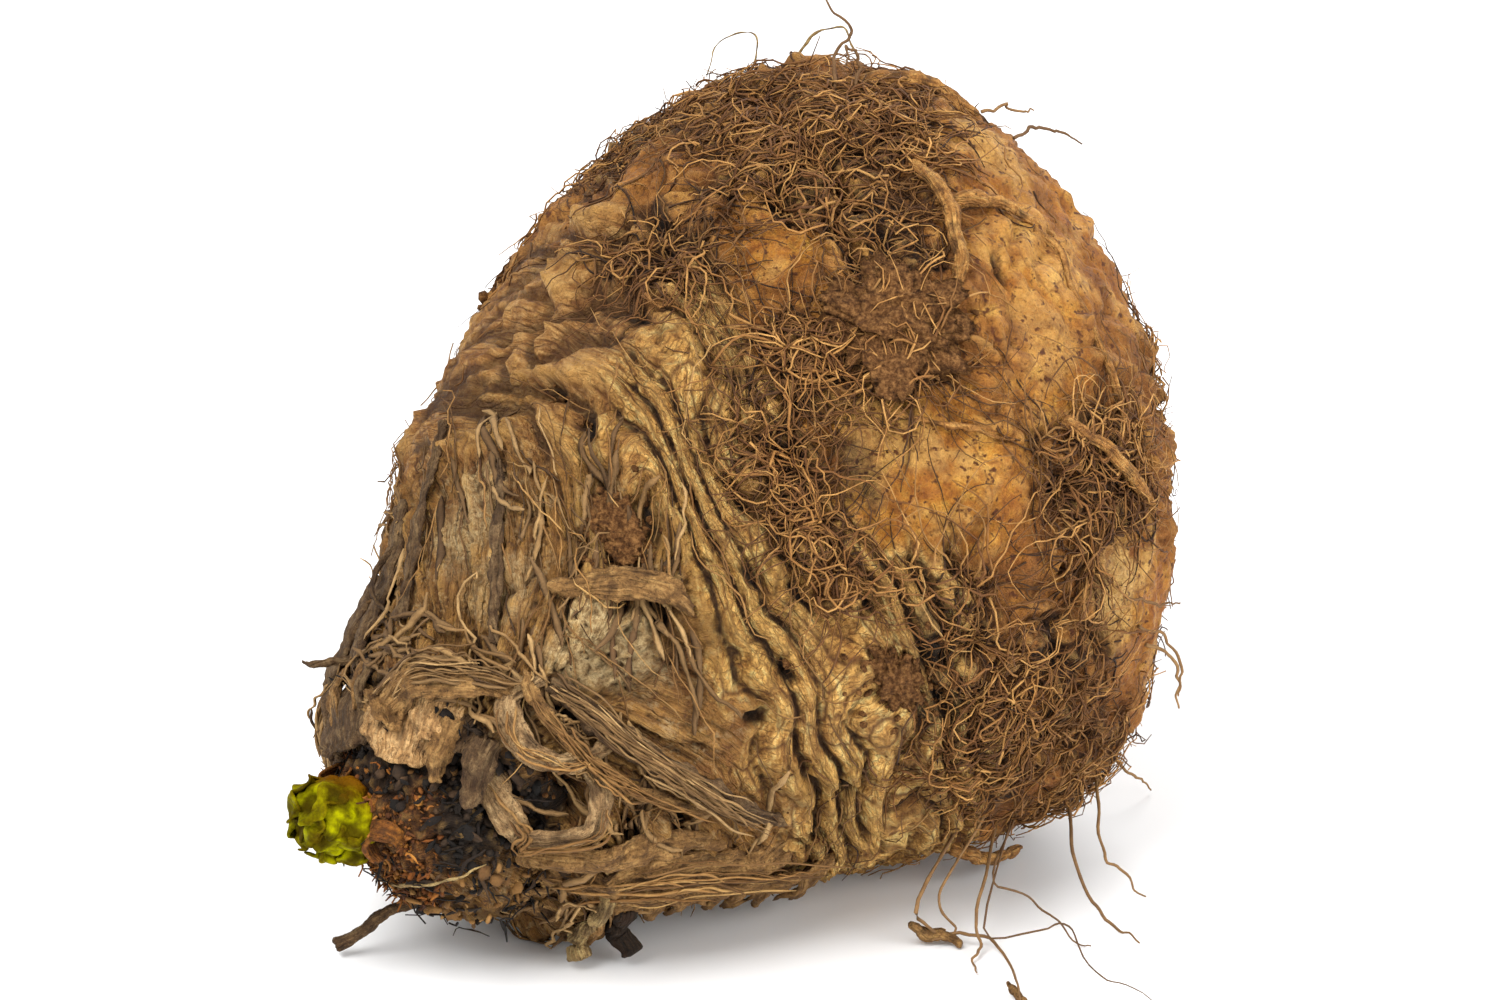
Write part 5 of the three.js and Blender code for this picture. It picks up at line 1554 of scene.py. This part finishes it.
# Each kind of crumb: seed, where it lies, how many, radii in mm, finish, other settings.
crumbs = {
    "soilCrumbs": (101, soilWeight, 900, (0.1, 0.5), soilFinish, {}),
    "trenchCrumbs": (102, trenchWeight, 520, (0.1, 0.55), trenchFinish, {}),
    "heartCrumbs": (103, heartWeight, 760, (0.08, 0.34), debrisFinish, {}),
    "dustCrumbs": (104, matMask + scarMask * 0.6 + 0.1, 800, (0.06, 0.2), soilFinish, {}),
    "trenchFlakes": (105, frontTrench, 300, (0.25, 0.9), trenchFinish, {"depth": 0.2, "flat": 0.25}),
    "tanFlakes": (107, lowTrench, 200, (0.25, 0.8), tanFinish, {"depth": 0.2, "flat": 0.3}),
    "heartFlakes": (106, heartWeight, 260, (0.2, 0.55), debrisFinish, {"depth": 0.2, "flat": 0.3}),
}
for name, (seed, weight, count, sizes, finish, settings) in crumbs.items():
    settle(strewCrumbs(name, seed, weight, count, sizes, **settings), finish)
bits = {
    "trenchBits": (trenchMask + 1e-9, trenchFinish, dict(
        seed=75, count=150, steps=7, stepRange=(0.2, 0.6), wide=(0.05, 0.2), thick=0.06, rise=0.9,
        bend=0.15, spreadBy=2, curl=1)),
    "heartBits": (heartWeight, debrisFinish, dict(
        seed=74, count=130, steps=5, stepRange=(0.1, 0.28), wide=(0.06, 0.22), thick=0.06, rise=0.7,
        bend=0.3, spreadBy=2)),
}
for name, (weight, finish, settings) in bits.items():
    settle(growShreds(name, weight, **settings), finish)
print("celeriac: soil")


# Sprout: young leaves folded over the heart.
sprout = {
    "middle": (-2.2, -2.6, 0), "wall": 0.3, "cells": (16, 18),
    "ramp": [(0.34, 50, 42, 0), (0.44, 76, 69, 0), (0.53, 108, 103, 0), (0.64, 152, 150, 0)],
    "rim": (90, 62, 1), "foldShade": (60, 48, 0), "base": (102, 62, 3),
    "glow": 0.08, "glowReach": (0.8, 0.9, 0.05), "glowScale": 0.0007,   # light let through the leaf
}

# Each leaf: the angle it stands at, its path as mm outwards and along, and its widths.
sproutLeaves = [
    (205, [(1.2, 46.4), (2, 48.2), (1.8, 50), (0.4, 51)], [2.2, 4.2, 4.4, 2.2]),
    (310, [(1.4, 46.4), (2, 48), (1.6, 49.6), (0.6, 50.6)], [2.2, 4, 4, 2]),
    (70, [(1.4, 46.4), (1.9, 48), (1.5, 49.8), (0.5, 50.8)], [2.2, 4, 4, 2]),
    (255, [(2.6, 45.4), (3.2, 47.4), (3.2, 49.2), (2.2, 50.4)], [2.8, 5.4, 5.4, 2.8]),
    (350, [(2.6, 45.2), (3.2, 47), (3.2, 48.6), (2.2, 49.8)], [2.6, 4.6, 4.6, 2.2]),
    (130, [(2.6, 45.4), (3.3, 47.2), (3.2, 49), (2.4, 50.2)], [2.6, 4.8, 4.8, 2.4]),
    (190, [(2.6, 45.8), (3.2, 47.6), (3.1, 49.4), (2.4, 50.6)], [2.4, 4.6, 4.6, 2.4]),
    (300, [(2.8, 45), (3.6, 46.6), (3.7, 48), (3, 49.2)], [2.4, 4.4, 4.2, 2]),
    (60, [(2.4, 45.2), (3, 46.8), (3, 48.4), (2, 49.6)], [2.2, 4, 4, 2]),
]
scales = []
for i in range(-3, 3):
    odd = i % 2
    path = [(3.8, 43.8 - 0.5 * odd), (4.3, 45), (4.2 - 0.4 * odd, 46), (3.7, 46.7)]
    scales.append((30 + 40 * i, path, [2, 2.4, 1.8, 0.6]))


def makeLeaf(name, angle, path, widths, seed, ruffle=1.0, cells=sprout["cells"]):
    piece, x, t = newGrid(name, cells)
    out = np.array([math.cos(math.radians(angle)), math.sin(math.radians(angle)), 0])
    side = np.array([-out[1], out[0], 0])
    reach, height = rowsAt(smoothTrack(path, 60), t * 59).T
    lobes = 1 + 0.3 * np.abs(np.sin(t * 8 + seed)) * np.abs(x) * ruffle
    half = np.interp(t, np.linspace(0, 1, len(widths)), widths) / 2 * lobes
    crinkle = 0.45 - 1.7 * np.abs(noiseOf(columnsOf(x * 1.2, t * 2.6, seed), seed, 2))
    finer = noiseOf(columnsOf(x * 3.2, t * 7, seed), seed + 3, 2)
    cup = -0.5 * x ** 2 + ruffle * (crinkle * (0.7 + 0.7 * np.abs(x)) + finer * 0.16
                                    + 0.35 * np.sin(t * 9 + seed * 2) * np.abs(x) ** 2)
    height = height + ruffle * (crinkle * 0.3 + np.clip(t - 0.7, 0, 1) * np.cos(x * 4 + seed) * 1.6)
    local = sprout["middle"] + out * (reach + cup)[:, None] + side * (x * half)[:, None]
    local = local + np.array([0, 0, 1.0]) * height[:, None]
    setCoords(piece.data, middleArray + (local @ turnArray.T) * mm)
    setValues(piece.data, "rim", np.abs(x) ** 3)
    setValues(piece.data, "tipward", t)
    setValues(piece.data, "crest", np.clip(crinkle * 1.1 + finer * 0.3 + 0.5, 0, 1))
    setValues(piece.data, "grain", columnsOf(x * half, 0, t * 4 + seed * 5))
    finishMesh(piece, sprout["wall"], 1)
    return piece


def makeLeafMaterial():
    material, tree, surface = newMaterial("sproutLeaf", 0.65, 0.03)
    surface.inputs["Subsurface Weight"].default_value = sprout["glow"]
    surface.inputs["Subsurface Radius"].default_value = sprout["glowReach"]
    surface.inputs["Subsurface Scale"].default_value = sprout["glowScale"]
    spot = spotInMm(tree)
    blotch = noiseNode(spot, 0.5, 3.0)
    colour = rampNode(blotch, sprout["ramp"])
    rim = times(attributeValue(tree, "rim"), 0.4)
    colour = mixColours(rim, colour, sprout["rim"])
    # painted shade in the crinkled folds of the leaves
    foldShade = within(attributeValue(tree, "crest"), -2.8, 1.4)
    colour = mixColours(times(foldShade, 0.8), colour, sprout["foldShade"])
    base = within(attributeValue(tree, "tipward"), -2.6, 1.1)
    colour = mixColours(base, colour, sprout["base"])
    tree.links.new(colour, surface.inputs["Base Color"])
    veins = noiseNode(spot, 3.0, 4.0)
    bumpFrom(tree, surface, veins, 0.25)
    return material


leafFinish = makeLeafMaterial()
for i, leaf in enumerate(sproutLeaves):
    node = f"sprout_leaf_{i + 1}" if i < 6 else None   # the solids have six leaves, the rest are extra
    settle(makeLeaf(f"sproutLeaf{i + 1}", *leaf, seed=i + 2), leafFinish, node)
parts = []
for i, scale in enumerate(scales):
    parts.append(makeLeaf("crownScale", *scale, seed=i + 40, ruffle=0.4, cells=(7, 8)))
settle(joinPieces("crownScales", parts), huskFinishes["rust"])

# One scale beside the sprout is curled round on itself like a shaving.
curl = {"x": -1.4, "y": 2.0, "radius": 1.25, "low": 47.0, "high": 48.9}
track = [("local", curl["x"] + curl["radius"] * math.cos(a), curl["y"] + curl["radius"] * math.sin(a),
          curl["low"] + (curl["high"] - curl["low"]) * k / 7) for k, a in enumerate(np.linspace(0.6, 6.2, 8))]
piece = layStrip("curledScale", track, [0.9, 1.8, 2.1, 1.5], 44, 0.3, -0.2, 0.2, (6, 24), relief=0.1, tilt=62)
settle(piece, huskFinishes["rust"])
print("celeriac: sprout")


# Floor, light and camera.
studio = {
    "key": {"at": (-0.22, -0.3, 0.5), "size": 0.4, "power": 4.4},
    "fill": {"at": (0.4, -0.34, 0.16), "size": 0.5, "power": 3.2},
    "back": {"at": (0.15, 0.45, 0.45), "size": 0.4, "power": 2.4},
    "aim": (0, 0, 0.03),
    "world": 0.64,
    "floorSize": 6,
    "floorTone": 0.86,
}


def makeFloor():
    deselectAll()
    bpy.ops.mesh.primitive_plane_add(size=studio["floorSize"], location=(0, 0, 0))
    floor = bpy.context.active_object
    floor.name = "floor"
    material, tree, surface = newMaterial("floorFinish", 0.6, 0.2)
    surface.inputs["Base Color"].default_value = (*[studio["floorTone"]] * 3, 1)
    floor.data.materials.append(material)


def addLamp(name, at, size, power):
    lamp = bpy.data.lights.new(name, "AREA")
    lamp.shape = "DISK"
    lamp.size = size
    lamp.energy = power
    piece = bpy.data.objects.new(name, lamp)
    piece.location = at
    piece.rotation_euler = (Vector(studio["aim"]) - Vector(at)).to_track_quat("-Z", "Y").to_euler()
    bpy.context.scene.collection.objects.link(piece)


makeFloor()
for name in ("key", "fill", "back"):
    addLamp(name, **studio[name])
world = bpy.data.worlds.new("studio")
world.use_nodes = True
world.node_tree.nodes["Background"].inputs[0].default_value = (1, 1, 1, 1)
world.node_tree.nodes["Background"].inputs[1].default_value = studio["world"]
bpy.context.scene.world = world
bpy.context.scene.view_settings.view_transform = "Standard"

view = {
    "elevation": math.radians(18), "distance": 0.3458, "lens": 100, "sensor": 36,
    "rightBy": 1.0 * mm, "upBy": -3.3 * mm,
}
toCamera = Vector((0, -math.cos(view["elevation"]), math.sin(view["elevation"])))
upward = Vector((0, math.sin(view["elevation"]), math.cos(view["elevation"])))
target = axis["middle"] + Vector((view["rightBy"], 0, 0)) + upward * view["upBy"]
camera = bpy.data.objects.new("camera", bpy.data.cameras.new("camera"))
camera.data.lens = view["lens"]
camera.data.sensor_width = view["sensor"]
camera.data.clip_start = 0.01
camera.location = target + toCamera * view["distance"]
camera.rotation_euler = (math.radians(90) - view["elevation"], 0, 0)
bpy.context.scene.collection.objects.link(camera)
bpy.context.scene.camera = camera

print("celeriac: done")
